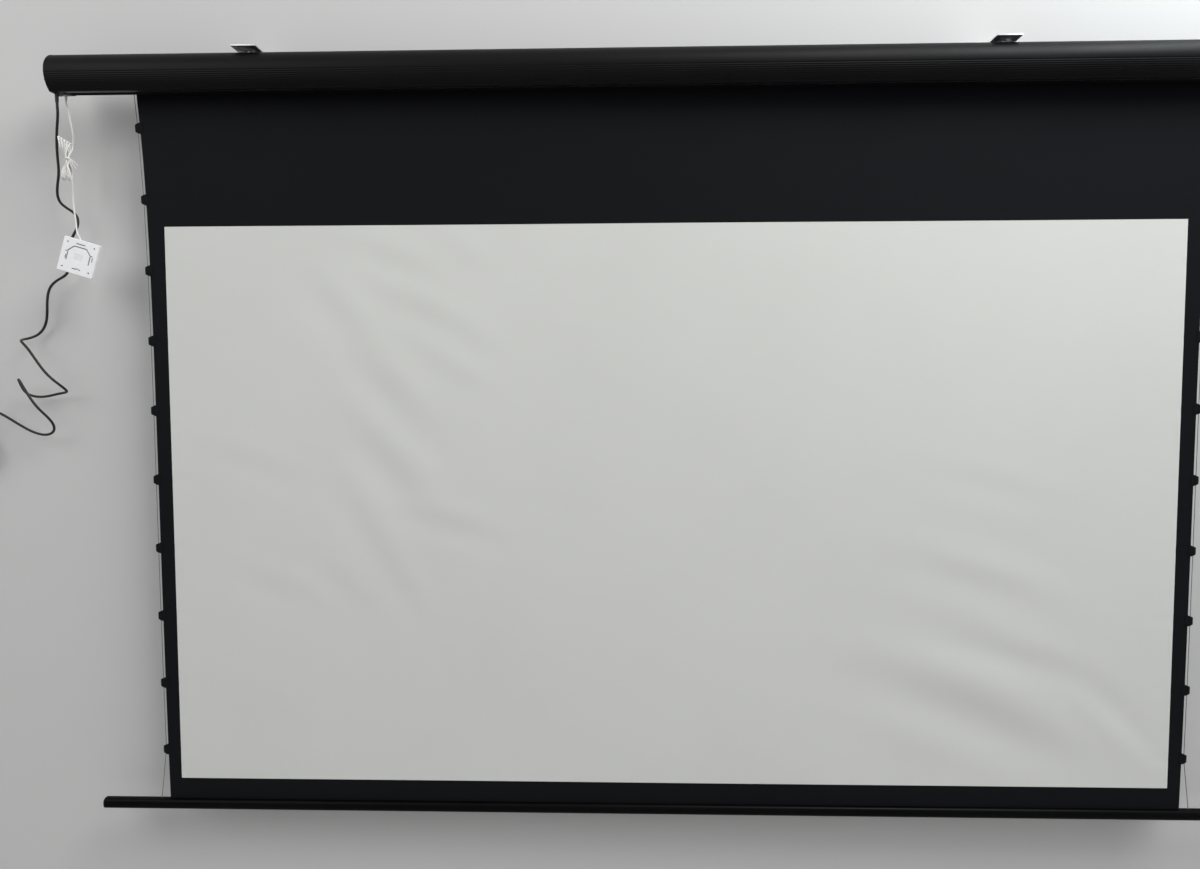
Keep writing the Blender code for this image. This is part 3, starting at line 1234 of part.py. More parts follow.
def make_power_cord():
    """The mains cord: its free run, its tied coil and the plug on its end."""
    coil = coil_path()
    gap = self_gap(coil, POWER_R, 8)
    print(f"power_coil: least gap to itself {gap * 1000:.2f} mm")
    tube("power_coil", coil, POWER_R, 1, BLACK_CORD)
    end, outward = next_to(coil, True)
    route = POWER_POINTS + [tuple(end + outward * POWER_R * 2), tuple(end)]
    tube("power_cord", smooth_path(route, POWER_SPACING), POWER_R, 2, BLACK_CORD)

    cx, cy, cz = COIL_CENTRE
    reach_out = COIL_OUTER_R - COIL_STEP * 0.25 + POWER_R + GAP
    reach_in = COIL_OUTER_R - COIL_STEP * 2.25 - POWER_R - GAP
    half = COIL_LAYER / 2 + POWER_R + GAP
    inner = [(-half, cz - reach_out), (half, cz - reach_out), (half, cz - reach_in),
             (-half, cz - reach_in)]
    wall = TIE_THICK
    outer = [(-half - wall, cz - reach_out - wall), (half + wall, cz - reach_out - wall),
             (half + wall, cz - reach_in + wall), (-half - wall, cz - reach_in + wall)]
    tie = flat_outline("coil_tie", [outer, inner[::-1]], TIE_WIDTH, BLACK_PLASTIC)
    tie.rotation_euler = (math.pi / 2, 0.0, math.pi / 2)
    tie.location = (cx, cy, 0.0)

    x, y, z = coil[-1]
    top = z - GAP
    profile = [(0.0, 0.0)] + [(r, -down) for r, down in PLUG_PROFILE]
    profile.append((0.0, -PLUG_PROFILE[-1][1]))
    plug = spun_solid("power_plug", profile, (x, y, top), BLACK_PLASTIC, 24)
    low = top - PLUG_PROFILE[-1][1]
    width, thick, length = PLUG_PIN
    for side, word in ((-1, "left"), (1, "right")):
        px = x + side * PLUG_PIN_PITCH / 2
        seat_top = low + PLUG_PIN_SEAT
        slot = box("pin_slot", (px - thick / 2 - GAP, y - width / 2 - GAP, low - OVERRUN),
                   (px + thick / 2 + GAP, y + width / 2 + GAP, seat_top + GAP), BLACK_PLASTIC)
        cut(plug, slot)
        box(f"plug_pin_{word}", (px - thick / 2, y - width / 2, low - length),
            (px + thick / 2, y + width / 2, seat_top), ZINC_STEEL)


def make_signal_cord(plug_low):
    """The signal cord: down from the socket, its tied hank, and on to the wall control."""
    hank = hank_path()
    gap = self_gap(hank, SIGNAL_R, 6)
    print(f"signal_hank: least gap to itself {gap * 1000:.2f} mm")
    tube("signal_hank", hank, SIGNAL_R, 1, WHITE_CORD)
    spacing = 6.0 * SIGNAL_R

    end, outward = next_to(hank, True)
    start = (JACK_X, AXIS_Y + JACK_U, plug_low - GAP)
    below = (JACK_X, AXIS_Y + JACK_U, plug_low - GAP - 2.0 * SIGNAL_R)
    route = [start, below] + SIGNAL_UPPER
    route += [tuple(end + outward * spacing), tuple(end)]
    tube("signal_cord_upper", smooth_path(route, spacing), SIGNAL_R, 2, WHITE_CORD)

    end, outward = next_to(hank, False)
    up = CONTROL_FRAME.to_3x3() @ Vector((0.0, 1.0, 0.0))
    entry = Vector(PLATE_CENTRE) + up * CONTROL_H / 2
    above = entry + up * SIGNAL_R * 2
    inside = entry - up * (CONTROL_RIM + WELD)
    route = [tuple(end), tuple(end + outward * spacing)] + SIGNAL_LOWER
    route += [tuple(above), tuple(inside)]
    tube("signal_cord_lower", smooth_path(route, 4.0 * SIGNAL_R), SIGNAL_R, 2, WHITE_CORD)

    reach_stack = HANK_STEP * HANK_LOOPS / 2 + SIGNAL_R + GAP
    reach_side = HANK_WAIST + SIGNAL_R + GAP
    wall = TIE_THICK
    inner = [(-reach_stack, -reach_side), (reach_stack, -reach_side), (reach_stack, reach_side),
             (-reach_stack, reach_side)]
    outer = [(sx * (reach_stack + wall), sy * (reach_side + wall))
             for sx, sy in ((-1, -1), (1, -1), (1, 1), (-1, 1))]
    tie = to_mesh(flat_outline("hank_tie", [outer, inner[::-1]], TIE_WIDTH * 0.75,
                               WHITE_PLASTIC))
    tie.rotation_euler = (0.0, 0.0, -math.radians(HANK_YAW_DEG))
    tie.location = HANK_CENTRE
    corner = hank_place(0.0, reach_side + wall / 2, -reach_stack - wall / 2)
    for reach, drop in TAILS:
        x, y, z = corner
        tail = [corner, (x + reach * 0.45, y - 4 * TAIL_R, z - drop * 0.35),
                (x + reach, y - 3 * TAIL_R, z - drop)]
        join(tie, to_mesh(tube("tie_tail", tail, TAIL_R, 1, WHITE_PLASTIC)))


def main():
    make_casing()
    make_end_caps()
    plug_low = make_cord_outlet()
    make_control_box()
    make_motor_and_idler()
    make_wall_brackets()
    make_fabric()
    make_tabs()
    make_bar()
    make_control()
    make_power_cord()
    make_signal_cord(plug_low)


main()
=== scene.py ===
import math

import bmesh
import bpy
import numpy as np
from mathutils import Matrix, Vector


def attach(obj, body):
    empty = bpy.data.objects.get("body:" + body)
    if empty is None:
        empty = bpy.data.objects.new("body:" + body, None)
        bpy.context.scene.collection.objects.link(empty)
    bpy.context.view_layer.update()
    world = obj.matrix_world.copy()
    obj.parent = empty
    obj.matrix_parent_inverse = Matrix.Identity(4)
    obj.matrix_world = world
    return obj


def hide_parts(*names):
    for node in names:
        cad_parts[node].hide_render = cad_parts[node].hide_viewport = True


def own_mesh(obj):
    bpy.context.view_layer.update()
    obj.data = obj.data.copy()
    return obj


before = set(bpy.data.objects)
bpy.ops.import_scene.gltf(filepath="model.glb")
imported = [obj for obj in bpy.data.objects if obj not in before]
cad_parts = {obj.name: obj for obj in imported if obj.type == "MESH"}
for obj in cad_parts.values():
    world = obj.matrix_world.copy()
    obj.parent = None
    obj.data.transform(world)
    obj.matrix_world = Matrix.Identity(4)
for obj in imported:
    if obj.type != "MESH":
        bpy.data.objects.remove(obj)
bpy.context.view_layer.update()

# The camera stands where the photograph was taken from: 2.1 m in front of the wall,
# a little left of the screen's middle, as high as its upper half, and looks almost level.
CAMERA_PLACE = (-0.09677, -2.13196, -0.75834)
CAMERA_YAW = -0.0292
CAMERA_PITCH = -0.06002
CAMERA_ROLL = -0.00253
CAMERA_LENS = 26.4


def place_camera():
    """Level right and up from yaw and pitch, then both turned by the roll."""
    flat = math.cos(CAMERA_PITCH)
    ahead = Vector((math.sin(CAMERA_YAW) * flat, math.cos(CAMERA_YAW) * flat,
                    math.sin(CAMERA_PITCH)))
    level_right = Vector((math.cos(CAMERA_YAW), -math.sin(CAMERA_YAW), 0.0))
    level_up = level_right.cross(ahead)
    c, s = math.cos(CAMERA_ROLL), math.sin(CAMERA_ROLL)
    right = level_right * c + level_up * s
    up = level_up * c - level_right * s
    data = bpy.data.cameras.new("camera")
    data.sensor_width = 36.0
    data.lens = CAMERA_LENS
    camera = bpy.data.objects.new("camera", data)
    bpy.context.scene.collection.objects.link(camera)
    turn = Matrix((right, up, -ahead)).transposed().to_4x4()
    camera.matrix_world = Matrix.Translation(CAMERA_PLACE) @ turn
    bpy.context.scene.camera = camera


place_camera()

# The mains cord is a round black PVC lead of 2.6 m. It drops from the left foot, wanders
# down beside the screen in loose curves, and its spare length hangs in a tied round coil
# with a moulded plug on its end.
POWER_R = 0.003
POWER_POINTS = [
    (-1.3955, -0.1154, -0.0975), (-1.3955, -0.1154, -0.118), (-1.397, -0.112, -0.139),
    (-1.409, -0.098, -0.170), (-1.427, -0.072, -0.232), (-1.430, -0.066, -0.267),
    (-1.440, -0.058, -0.303), (-1.439, -0.048, -0.331), (-1.424, -0.037, -0.346),
    (-1.406, -0.039, -0.364), (-1.405, -0.042, -0.386), (-1.420, -0.040, -0.412),
    (-1.431, -0.036, -0.468), (-1.442, -0.033, -0.497), (-1.461, -0.032, -0.509),
    (-1.483, -0.030, -0.526), (-1.496, -0.028, -0.587), (-1.511, -0.017, -0.621),
    (-1.532, -0.016, -0.642), (-1.545, -0.027, -0.650), (-1.547, -0.049, -0.655),
    (-1.523, -0.072, -0.670), (-1.480, -0.074, -0.728), (-1.454, -0.077, -0.752),
    (-1.442, -0.064, -0.768), (-1.445, -0.044, -0.778), (-1.476, -0.023, -0.784),
    (-1.539, -0.019, -0.791), (-1.557, -0.024, -0.783), (-1.564, -0.035, -0.762),
    (-1.554, -0.056, -0.750), (-1.532, -0.075, -0.764), (-1.494, -0.075, -0.820),
    (-1.480, -0.066, -0.840), (-1.475, -0.052, -0.861), (-1.488, -0.038, -0.878),
    (-1.516, -0.030, -0.884), (-1.544, -0.030, -0.876), (-1.600, -0.034, -0.842),
    (-1.640, -0.035, -0.822), (-1.680, -0.036, -0.815), (-1.712, -0.038, -0.830),
    (-1.728, -0.0382, -0.862),
]
COIL_CENTRE = np.array((-1.690, -0.035, -0.915))
COIL_OUTER_R = 0.0405
COIL_TURNS = 5
COIL_STEP = 0.0066
COIL_LAYER = 0.0066
COIL_TAIL = 0.034
COIL_LEAD = 0.006


def soft_step(value):
    """3 v^2 - 2 v^3 between 0 and 1: an even ramp with level ends."""
    value = np.clip(value, 0.0, 1.0)
    return value * value * (3.0 - 2.0 * value)


def smooth_path(points, spacing):
    """Even points on the natural cubic spline through the given ones.

    The bends at the points solve h0 b0 + 2 (h0 + h1) b1 + h1 b2 = 6 (slope1 - slope0),
    with no bend at the two ends, h being the steps between the points."""
    points = np.array(points, dtype=float)
    steps = np.linalg.norm(np.diff(points, axis=0), axis=1)
    at = np.concatenate([[0.0], np.cumsum(steps)])
    system = np.eye(len(points))
    inner = np.arange(1, len(points) - 1)
    system[inner, inner - 1] = steps[:-1]
    system[inner, inner] = 2.0 * (steps[:-1] + steps[1:])
    system[inner, inner + 1] = steps[1:]
    rises = np.zeros_like(points)
    rises[1:-1] = 6.0 * np.diff(np.diff(points, axis=0) / steps[:, None], axis=0)
    bend = np.linalg.solve(system, rises)
    where = np.linspace(0.0, at[-1], max(2, round(at[-1] / spacing) + 1))
    index = np.clip(np.searchsorted(at, where, side="right") - 1, 0, len(points) - 2)
    gap = steps[index][:, None]
    a = (at[index + 1] - where)[:, None] / gap
    b = 1.0 - a
    path = a * points[index] + b * points[index + 1]
    return path + ((a**3 - a) * bend[index] + (b**3 - b) * bend[index + 1]) * gap**2 / 6.0


def coil_path():
    """Turns in one upright plane: in by a step each turn to the middle, then out again one
    layer further back, and a short tail straight down."""
    turn = np.arange(COIL_TURNS * 24 + 1) / 24.0
    half = COIL_TURNS / 2
    radius = COIL_OUTER_R - COIL_STEP * np.where(turn < half, turn, COIL_TURNS - turn)
    depth = COIL_LAYER * (soft_step(turn - half + 0.5) - 0.5)
    angle = math.pi + 2.0 * math.pi * turn
    coil = COIL_CENTRE + np.column_stack([radius * np.cos(angle), depth, radius * np.sin(angle)])
    lead = coil[0] + (0.0, 0.0, COIL_LEAD)
    tail = coil[-1] - np.outer((0.5, 1.0), (0.0, 0.0, COIL_TAIL))
    return np.vstack([lead, coil, tail])


def place_piece(name, data, material, body="casing", stands_for=()):
    """Put a piece in the scene with its material, on the body it rides on, and hide the CAD pieces
    it stands for.
    """
    data.materials.append(material)
    piece = bpy.data.objects.new(name, data)
    bpy.context.scene.collection.objects.link(piece)
    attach(piece, body)
    if stands_for:
        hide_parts(*stands_for)
    return piece


def round_cord(name, path, radius, material, stands_for):
    """A round cord: one open line with a round section, closed at both ends."""
    curve = bpy.data.curves.new(name, "CURVE")
    curve.dimensions = "3D"
    curve.bevel_depth = radius
    curve.bevel_resolution = 4
    curve.use_fill_caps = True
    spline = curve.splines.new("POLY")
    spline.points.add(len(path) - 1)
    spline.points.foreach_set("co", np.column_stack([path, np.ones(len(path))]).ravel())
    spline.use_smooth = True
    return place_piece(name, curve, material, stands_for=stands_for)


def add_node(tree, kind, sockets=None, **settings):
    """One shader node with its settings. A socket is given a value or another's output."""
    made = tree.nodes.new(kind)
    for key, value in settings.items():
        setattr(made, key, value)
    for key, value in (sockets or {}).items():
        if isinstance(value, bpy.types.NodeSocket):
            tree.links.new(value, made.inputs[key])
        else:
            made.inputs[key].default_value = value
    return made


def worked_out(tree, operation, *values, **settings):
    """What one sum gives, from values or other nodes' outputs."""
    return add_node(tree, "ShaderNodeMath", dict(enumerate(values)), operation=operation,
                    **settings).outputs[0]


def relief_from(tree, height, depth, **sockets):
    """The normal of a surface that rises by depth where height is 1."""
    return add_node(tree, "ShaderNodeBump",
                    {"Height": height, "Distance": depth, **sockets}).outputs["Normal"]


def put_out(tree, put, **results):
    """Join results to a group's outputs of the same names."""
    for label, value in results.items():
        tree.links.new(value, put.inputs[label])
    return tree


def new_material(name, **constants):
    """A material, its nodes and its shader, with what is the same all over it."""
    material = bpy.data.materials.new(name)
    material.use_nodes = True
    shader = material.node_tree.nodes["Principled BSDF"]
    for label, value in constants.items():
        shader.inputs[label.replace("_", " ")].default_value = value
    return material, material.node_tree, shader


def new_group(name, inputs, outputs):
    """A shader group with named sockets; returns its tree, input node and output node."""
    tree = bpy.data.node_groups.new(name, "ShaderNodeTree")
    for label, kind, value in inputs:
        socket = tree.interface.new_socket(label, in_out="INPUT", socket_type=kind)
        socket.default_value = value
    for label, kind in outputs:
        tree.interface.new_socket(label, in_out="OUTPUT", socket_type=kind)
    return tree, tree.nodes.new("NodeGroupInput"), tree.nodes.new("NodeGroupOutput")


def make_grain():
    """Soft patches for tone and sheen, and a fine grain that also stands out as relief."""
    tree, given, put = new_group(
        "surface_grain",
        [("Patch Size", "NodeSocketFloat", 8.0), ("Grain Size", "NodeSocketFloat", 800.0),
         ("Depth", "NodeSocketFloat", 0.00002), ("Stretch", "NodeSocketVector", (1.0, 1.0, 1.0))],
        [("Patches", "NodeSocketFloat"), ("Grain", "NodeSocketFloat"),
         ("Normal", "NodeSocketVector")],
    )
    place = add_node(tree, "ShaderNodeTexCoord").outputs["Object"]
    patches = add_node(tree, "ShaderNodeTexNoise",
                       {"Vector": place, "Scale": given.outputs["Patch Size"], "Detail": 4.0})
    spread = add_node(tree, "ShaderNodeMapRange",
                      {"Value": patches.outputs["Fac"], "From Min": 0.33, "From Max": 0.67})
    drawn = add_node(tree, "ShaderNodeVectorMath",
                     {0: place, 1: given.outputs["Stretch"]}, operation="MULTIPLY")
    grain = add_node(tree, "ShaderNodeTexNoise",
                     {"Vector": drawn.outputs[0], "Scale": given.outputs["Grain Size"],
                      "Detail": 2.0}).outputs["Fac"]
    return put_out(tree, put, Patches=spread.outputs["Result"], Grain=grain,
                   Normal=relief_from(tree, grain, given.outputs["Depth"]))


GRAIN = make_grain()


def make_edges():
    """Where the surface turns over an edge: the rounded normal less the flat one, broken up by
    noise. It places a painted edge highlight.
    """
    tree, given, put = new_group(
        "highlit_edges",
        [("Radius", "NodeSocketFloat", 0.0006), ("Break Up", "NodeSocketFloat", 0.5)],
        [("Edges", "NodeSocketFloat")],
    )
    eased = add_node(tree, "ShaderNodeBevel", {"Radius": given.outputs["Radius"]}, samples=4)
    flat = add_node(tree, "ShaderNodeNewGeometry").outputs["Normal"]
    same = add_node(tree, "ShaderNodeVectorMath", {0: eased.outputs["Normal"], 1: flat},
                    operation="DOT_PRODUCT")
    edge = add_node(tree, "ShaderNodeMapRange",
                    {"Value": same.outputs["Value"], "From Min": 0.995, "From Max": 0.86})
    place = add_node(tree, "ShaderNodeTexCoord").outputs["Object"]
    highlight_gaps = add_node(tree, "ShaderNodeTexNoise", {"Vector": place, "Scale": 160.0, "Detail": 3.0})
    lost = worked_out(tree, "MULTIPLY", highlight_gaps.outputs["Fac"], given.outputs["Break Up"])
    kept = worked_out(tree, "SUBTRACT", edge.outputs["Result"], lost, use_clamp=True)
    return put_out(tree, put, Edges=kept)


EDGES = make_edges()


def mixed_tones(tree, share, first, second):
    """The first colour where share is 0, the second where it is 1."""
    made = add_node(tree, "ShaderNodeMix", data_type="RGBA")
    tree.links.new(share, made.inputs[0])
    for socket, tone in ((made.inputs[6], first), (made.inputs[7], second)):
        if isinstance(tone, bpy.types.NodeSocket):
            tree.links.new(tone, socket)
        else:
            socket.default_value = (*tone, 1.0)
    return made.outputs[2]


def new_finish(name, tones, roughness, patch=8.0, grain=800.0, depth=0.00002,
               stretch=(1.0, 1.0, 1.0), edge_highlight=None, edge_radius=0.0006, **constants):
    """A worked surface: two tones in soft patches, roughness that follows the patches and the
    grain, the grain as relief, and a lighter third tone on the edges as a painted highlight,
    broken up in patches."""
    material, tree, shader = new_material(name, **constants)
    surface = add_node(tree, "ShaderNodeGroup",
                       {"Patch Size": patch, "Grain Size": grain, "Depth": depth,
                        "Stretch": stretch}, node_tree=GRAIN).outputs
    tone = mixed_tones(tree, surface["Patches"], *tones)
    both = worked_out(tree, "ADD", surface["Patches"], surface["Grain"])
    rough = add_node(tree, "ShaderNodeMapRange",
                     {"Value": both, "From Min": 0.3, "From Max": 1.5,
                      "To Min": roughness[0], "To Max": roughness[1]})
    # The lighter tone on the edges is a painted highlight.
    if edge_highlight:
        edges = add_node(tree, "ShaderNodeGroup", {"Radius": edge_radius}, node_tree=EDGES)
        tone = mixed_tones(tree, edges.outputs["Edges"], tone, edge_highlight)
    tree.links.new(tone, shader.inputs["Base Color"])
    tree.links.new(rough.outputs["Result"], shader.inputs["Roughness"])
    tree.links.new(surface["Normal"], shader.inputs["Normal"])
    return material


BLACK_LEAD = new_finish("black_lead", ((0.0055, 0.0055, 0.0058), (0.0085, 0.0085, 0.009)),
                        (0.42, 0.58), patch=30.0, grain=1500.0, depth=0.00002,
                        Specular_IOR_Level=0.4)
run_end = COIL_CENTRE + (-COIL_OUTER_R, -COIL_LAYER / 2, COIL_LEAD + 0.0003)
run = np.vstack([POWER_POINTS, run_end + (0.0, 0.0, 2.0 * POWER_R), run_end])
mains_path = smooth_path(np.vstack([run, coil_path()[1:]]), 0.0032)
mains_cord = round_cord("mains_cord", mains_path, POWER_R, BLACK_LEAD,
                        ("power_cord", "power_coil"))


def grid_faces(rows, columns, join_rows=False, join_columns=False):
    """Four-cornered faces over points numbered row by row; a joined way closes on itself."""
    row = np.arange(rows if join_rows else rows - 1)[:, None]
    column = np.arange(columns if join_columns else columns - 1)[None, :]
    next_row = (row + 1) % rows
    next_column = (column + 1) % columns
    corners = (row * columns + column, row * columns + next_column,
               next_row * columns + next_column, next_row * columns + column)
    return np.stack(corners, axis=-1).reshape(-1, 4)


def grid_border(rows, columns):
    """The numbers of the points round a grid's border, in order."""
    index = np.arange(rows * columns).reshape(rows, columns)
    return np.concatenate([index[0, :-1], index[:-1, -1], index[-1, :0:-1], index[:0:-1, 0]])


def turned(radii, heights, centre, axis="z", sides=48, ring=False):
    """A turned surface: for each radius and height a ring radius (cos t, sin t) about the
    axis. Radius 0 is a pole, and a ring profile closes on itself."""
    turn = np.linspace(0.0, 2.0 * np.pi, sides, endpoint=False)[None, :]
    radii = np.asarray(radii, dtype=float).reshape(len(radii), -1)
    heights = np.asarray(heights, dtype=float).reshape(len(radii), -1)
    across = radii * np.cos(turn)
    up = radii * np.sin(turn)
    along = heights + 0.0 * turn
    order = {"x": (along, across, up), "-x": (-along, across, up), "y": (across, along, up),
             "z": (across, up, along), "-z": (across, up, -along)}[axis]
    points = np.stack(order, axis=-1).reshape(-1, 3) + np.asarray(centre)
    return points, [grid_faces(len(radii), sides, ring, True)]


def lofted(rings):
    """Sides from each outline to the next, all of one count, and the two end faces."""
    rings = np.asarray(rings, dtype=float)
    levels, count, _ = rings.shape
    ends = [np.arange(count)[None, ::-1], np.arange(count)[None, :] + (levels - 1) * count]
    return rings.reshape(-1, 3), [grid_faces(levels, count, join_columns=True), *ends]


def put_mesh(name, surfaces, material, body="casing", stands_for=(), sharp_deg=35.0,
             weld=True, uv=None):
    """One piece of the object from (points, faces) surfaces. Welding closes their seams and
    poles, and their faces are turned outwards; edges past the angle stay sharp."""
    faces = []
    start = 0
    for points, blocks in surfaces:
        for block in blocks:
            faces += (np.asarray(block) + start).tolist()
        start += len(points)
    mesh = bpy.data.meshes.new(name)
    mesh.from_pydata(np.vstack([points for points, blocks in surfaces]).tolist(), [], faces)
    if weld:
        work = bmesh.new()
        work.from_mesh(mesh)
        bmesh.ops.remove_doubles(work, verts=work.verts, dist=0.000002)
        bmesh.ops.dissolve_degenerate(work, edges=work.edges, dist=0.0000005)
        bmesh.ops.recalc_face_normals(work, faces=work.faces)
        work.to_mesh(mesh)
        work.free()
    if uv is not None:
        corner = np.empty(len(mesh.loops), dtype=np.int32)
        mesh.loops.foreach_get("vertex_index", corner)
        layer = mesh.uv_layers.new(name="cloth")
        layer.data.foreach_set("uv", np.asarray(uv, dtype=np.float32)[corner].ravel())
    mesh.shade_smooth()
    mesh.set_sharp_from_angle(angle=math.radians(sharp_deg))
    return place_piece(name, mesh, material, body, stands_for)


def dress(material, *names):
    """Give CAD pieces that keep their own shape their finish."""
    for name in names:
        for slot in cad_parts[name].material_slots:
            slot.link = "OBJECT"
            slot.material = material


# Strain relief: a tapered sleeve of soft black PVC, 20 mm long with rings moulded in it,
# pressed through the foot's floor so that the lead can't be pulled or kinked there.
AXIS_Y = -0.10435
AXIS_Z = -0.055
FLOOR_TOP_Z = -0.0950
FLOOR_LOW_Z = -0.0975
GAP = 0.0003
CORD_X = -1.3955
CORD_Y = AXIS_Y - 0.0110
RELIEF_RINGS = 7
RELIEF_LENGTH = 0.0200
RELIEF_FLANGE = 0.0016
RELIEF_TOP_R = 0.0043
RELIEF_LOW_R = 0.0038
RELIEF_GROOVE = 0.0004
BLACK_RUBBER = new_finish("black_rubber", ((0.009, 0.009, 0.009), (0.016, 0.016, 0.016)),
                          (0.55, 0.7), patch=60.0, grain=2200.0, depth=0.00002)


def relief_profile():
    """Neck, flange, then an even taper with ring grooves cut to the square root of a sine's
    upper half, and the bore back up."""
    low = FLOOR_LOW_Z - GAP
    share = np.linspace(0.0, 1.0, RELIEF_RINGS * 8 + 1)
    rings = np.clip(np.sin(2.0 * np.pi * RELIEF_RINGS * share), 0.0, 1.0) ** 0.5
    taper = RELIEF_TOP_R - (RELIEF_TOP_R - RELIEF_LOW_R) * share - RELIEF_GROOVE * rings
    down = low - RELIEF_FLANGE - (RELIEF_LENGTH - RELIEF_FLANGE) * share
    radii = [0.0042, 0.0042, 0.0052, 0.0056, 0.0056, 0.0047, *taper, 0.0037, 0.0033, 0.0033]
    heights = [FLOOR_TOP_Z, low, low, low - 0.0004, low - 0.0012, low - RELIEF_FLANGE, *down,
               down[-1] - 0.0001, down[-1], FLOOR_TOP_Z]
    return radii, heights


relief_surface = turned(*relief_profile(), (CORD_X, CORD_Y, 0.0), sides=40, ring=True)
strain_relief = put_mesh("strain_relief", [relief_surface], BLACK_RUBBER,
                         stands_for=("cord_strain_relief",), sharp_deg=50.0)

# The coil is held by a black releasable tie, a 4 mm strap of nylon round all its turns
# at the bottom, with its locking head on the side that faces the room.
COIL_REACH_OUT = COIL_OUTER_R - COIL_STEP * 0.25 + POWER_R + GAP
COIL_REACH_IN = COIL_OUTER_R - COIL_STEP * 2.25 - POWER_R - GAP
COIL_HALF = COIL_LAYER / 2 + POWER_R + GAP
TIE_WALL = 0.0010
TIE_WIDTH = 0.004
TIE_EASE = 0.25 * TIE_WALL
HEAD_HALF = 0.0028
HEAD_OUT = 0.0012
HEAD_TALL = 0.0030
HEAD_EASE = 0.0004
BLACK_NYLON = new_finish("black_nylon", ((0.010, 0.010, 0.0105), (0.016, 0.016, 0.017)),
                         (0.38, 0.5), patch=90.0, grain=2600.0, depth=0.00001)


def strap_loop(half_a, half_b, width, power=5.0):
    """A strap round a bundle: the rounded square |a|^n + |b|^n = 1 at its inside and at its
    outside, carried across its width with its corners eased. Gives (a, b, across)."""
    turn = np.linspace(0.0, 2.0 * np.pi, 64, endpoint=False)
    c, s = np.cos(turn), np.sin(turn)
    reach = (np.abs(c) ** power + np.abs(s) ** power) ** (-1.0 / power)
    side = 0.5 * width
    section = ((0.0, -side), (TIE_WALL - TIE_EASE, -side), (TIE_WALL, -side + TIE_EASE),
               (TIE_WALL, side - TIE_EASE), (TIE_WALL - TIE_EASE, side), (0.0, side))
    rings = [np.column_stack([(half_a + out) * reach * c, (half_b + out) * reach * s,
                              np.full(len(turn), across)]) for out, across in section]
    return np.vstack(rings), [grid_faces(len(section), len(turn), True, True)]


def block(low, high, ease):
    """A box with eased edges: its outline drawn in at both ends."""
    (x0, y0, z0), (x1, y1, z1) = low, high
    corner = np.array([(x0 + ease, y0), (x1 - ease, y0), (x1, y0 + ease), (x1, y1 - ease),
                       (x1 - ease, y1), (x0 + ease, y1), (x0, y1 - ease), (x0, y0 + ease)])
    middle = corner.mean(axis=0)
    drawn = middle + (corner - middle) * (1.0 - 2.0 * ease / np.ptp(corner, axis=0))
    levels = ((z0, drawn), (z0 + ease, corner), (z1 - ease, corner), (z1, drawn))
    return lofted([np.column_stack([outline, np.full(8, z)]) for z, outline in levels])


loop_points, loop_faces = strap_loop(COIL_HALF, (COIL_REACH_OUT - COIL_REACH_IN) / 2, TIE_WIDTH)
tie_z = COIL_CENTRE[2] - (COIL_REACH_OUT + COIL_REACH_IN) / 2
loop_points = loop_points[:, [2, 0, 1]] + (COIL_CENTRE[0], COIL_CENTRE[1], tie_z)
head_y = COIL_CENTRE[1] - COIL_HALF - TIE_WALL
head = block((COIL_CENTRE[0] - HEAD_HALF, head_y - HEAD_OUT, tie_z - HEAD_TALL),
             (COIL_CENTRE[0] + HEAD_HALF, head_y + HEAD_EASE, tie_z + HEAD_TALL), HEAD_EASE)
coil_strap = put_mesh("coil_strap", [(loop_points, loop_faces), head], BLACK_NYLON,
                      stands_for=("coil_tie",))

# The plug is moulded on the lead in black PVC: a ringed neck, then a body with flattened,
# ribbed sides for the fingers, and two flat nickel-plated pins.
PLUG_TOP = coil_path()[-1] - (0.0, 0.0, GAP)
PLUG_LENGTH = 0.041
PLUG_PROFILE = np.array([(0.0042, 0.0), (0.0080, 0.014), (0.0105, 0.022), (0.0105, 0.038),
                         (0.0095, PLUG_LENGTH)])
PLUG_NECK = (0.001, 0.0135)
PLUG_GRIP = (0.016, 0.0385)
PLUG_NECK_RING = 0.0026
PLUG_GRIP_RIB = 0.0024
PLUG_FLAT = 0.0022
NICKEL = new_finish("nickel_plate", ((0.62, 0.60, 0.56), (0.70, 0.68, 0.64)), (0.16, 0.3),
                    patch=120.0, grain=1800.0, depth=0.000004, Metallic=1.0)


def plug_surface():
    """Rings down the plug: the profile's radius less neck grooves, and on two sides less a
    flat with cross ribs, which is cos^4 of the angle from them."""
    down = np.linspace(0.0, PLUG_LENGTH, 124)
    radius = np.interp(down, PLUG_PROFILE[:, 1], PLUG_PROFILE[:, 0])
    neck = soft_step((down - PLUG_NECK[0]) / 0.002) * soft_step((PLUG_NECK[1] - down) / 0.002)
    radius = radius - 0.0005 * neck * (0.5 - 0.5 * np.cos(2.0 * np.pi * down / PLUG_NECK_RING))
    grip = soft_step((down - PLUG_GRIP[0]) / 0.006) * soft_step((PLUG_GRIP[1] - down) / 0.004)
    ribs = 0.0003 * (0.5 + 0.5 * np.cos(2.0 * np.pi * down / PLUG_GRIP_RIB))
    flat = np.abs(np.sin(np.linspace(0.0, 2.0 * np.pi, 64, endpoint=False))) ** 4
    radii = radius[:, None] - (grip * (PLUG_FLAT + ribs))[:, None] * flat[None, :]
    pole = np.zeros((1, 64))
    radii = np.vstack([pole, radii, radii[-1:] - 0.0008, pole])
    end = PLUG_LENGTH + 0.0004
    heights = np.concatenate([[0.0], down, [end, end]])[:, None]
    return turned(radii, heights, PLUG_TOP, "-z", 64)


mains_plug = put_mesh("mains_plug", [plug_surface()], BLACK_RUBBER,
                      stands_for=("power_plug",))
dress(NICKEL, "plug_pin_left", "plug_pin_right")

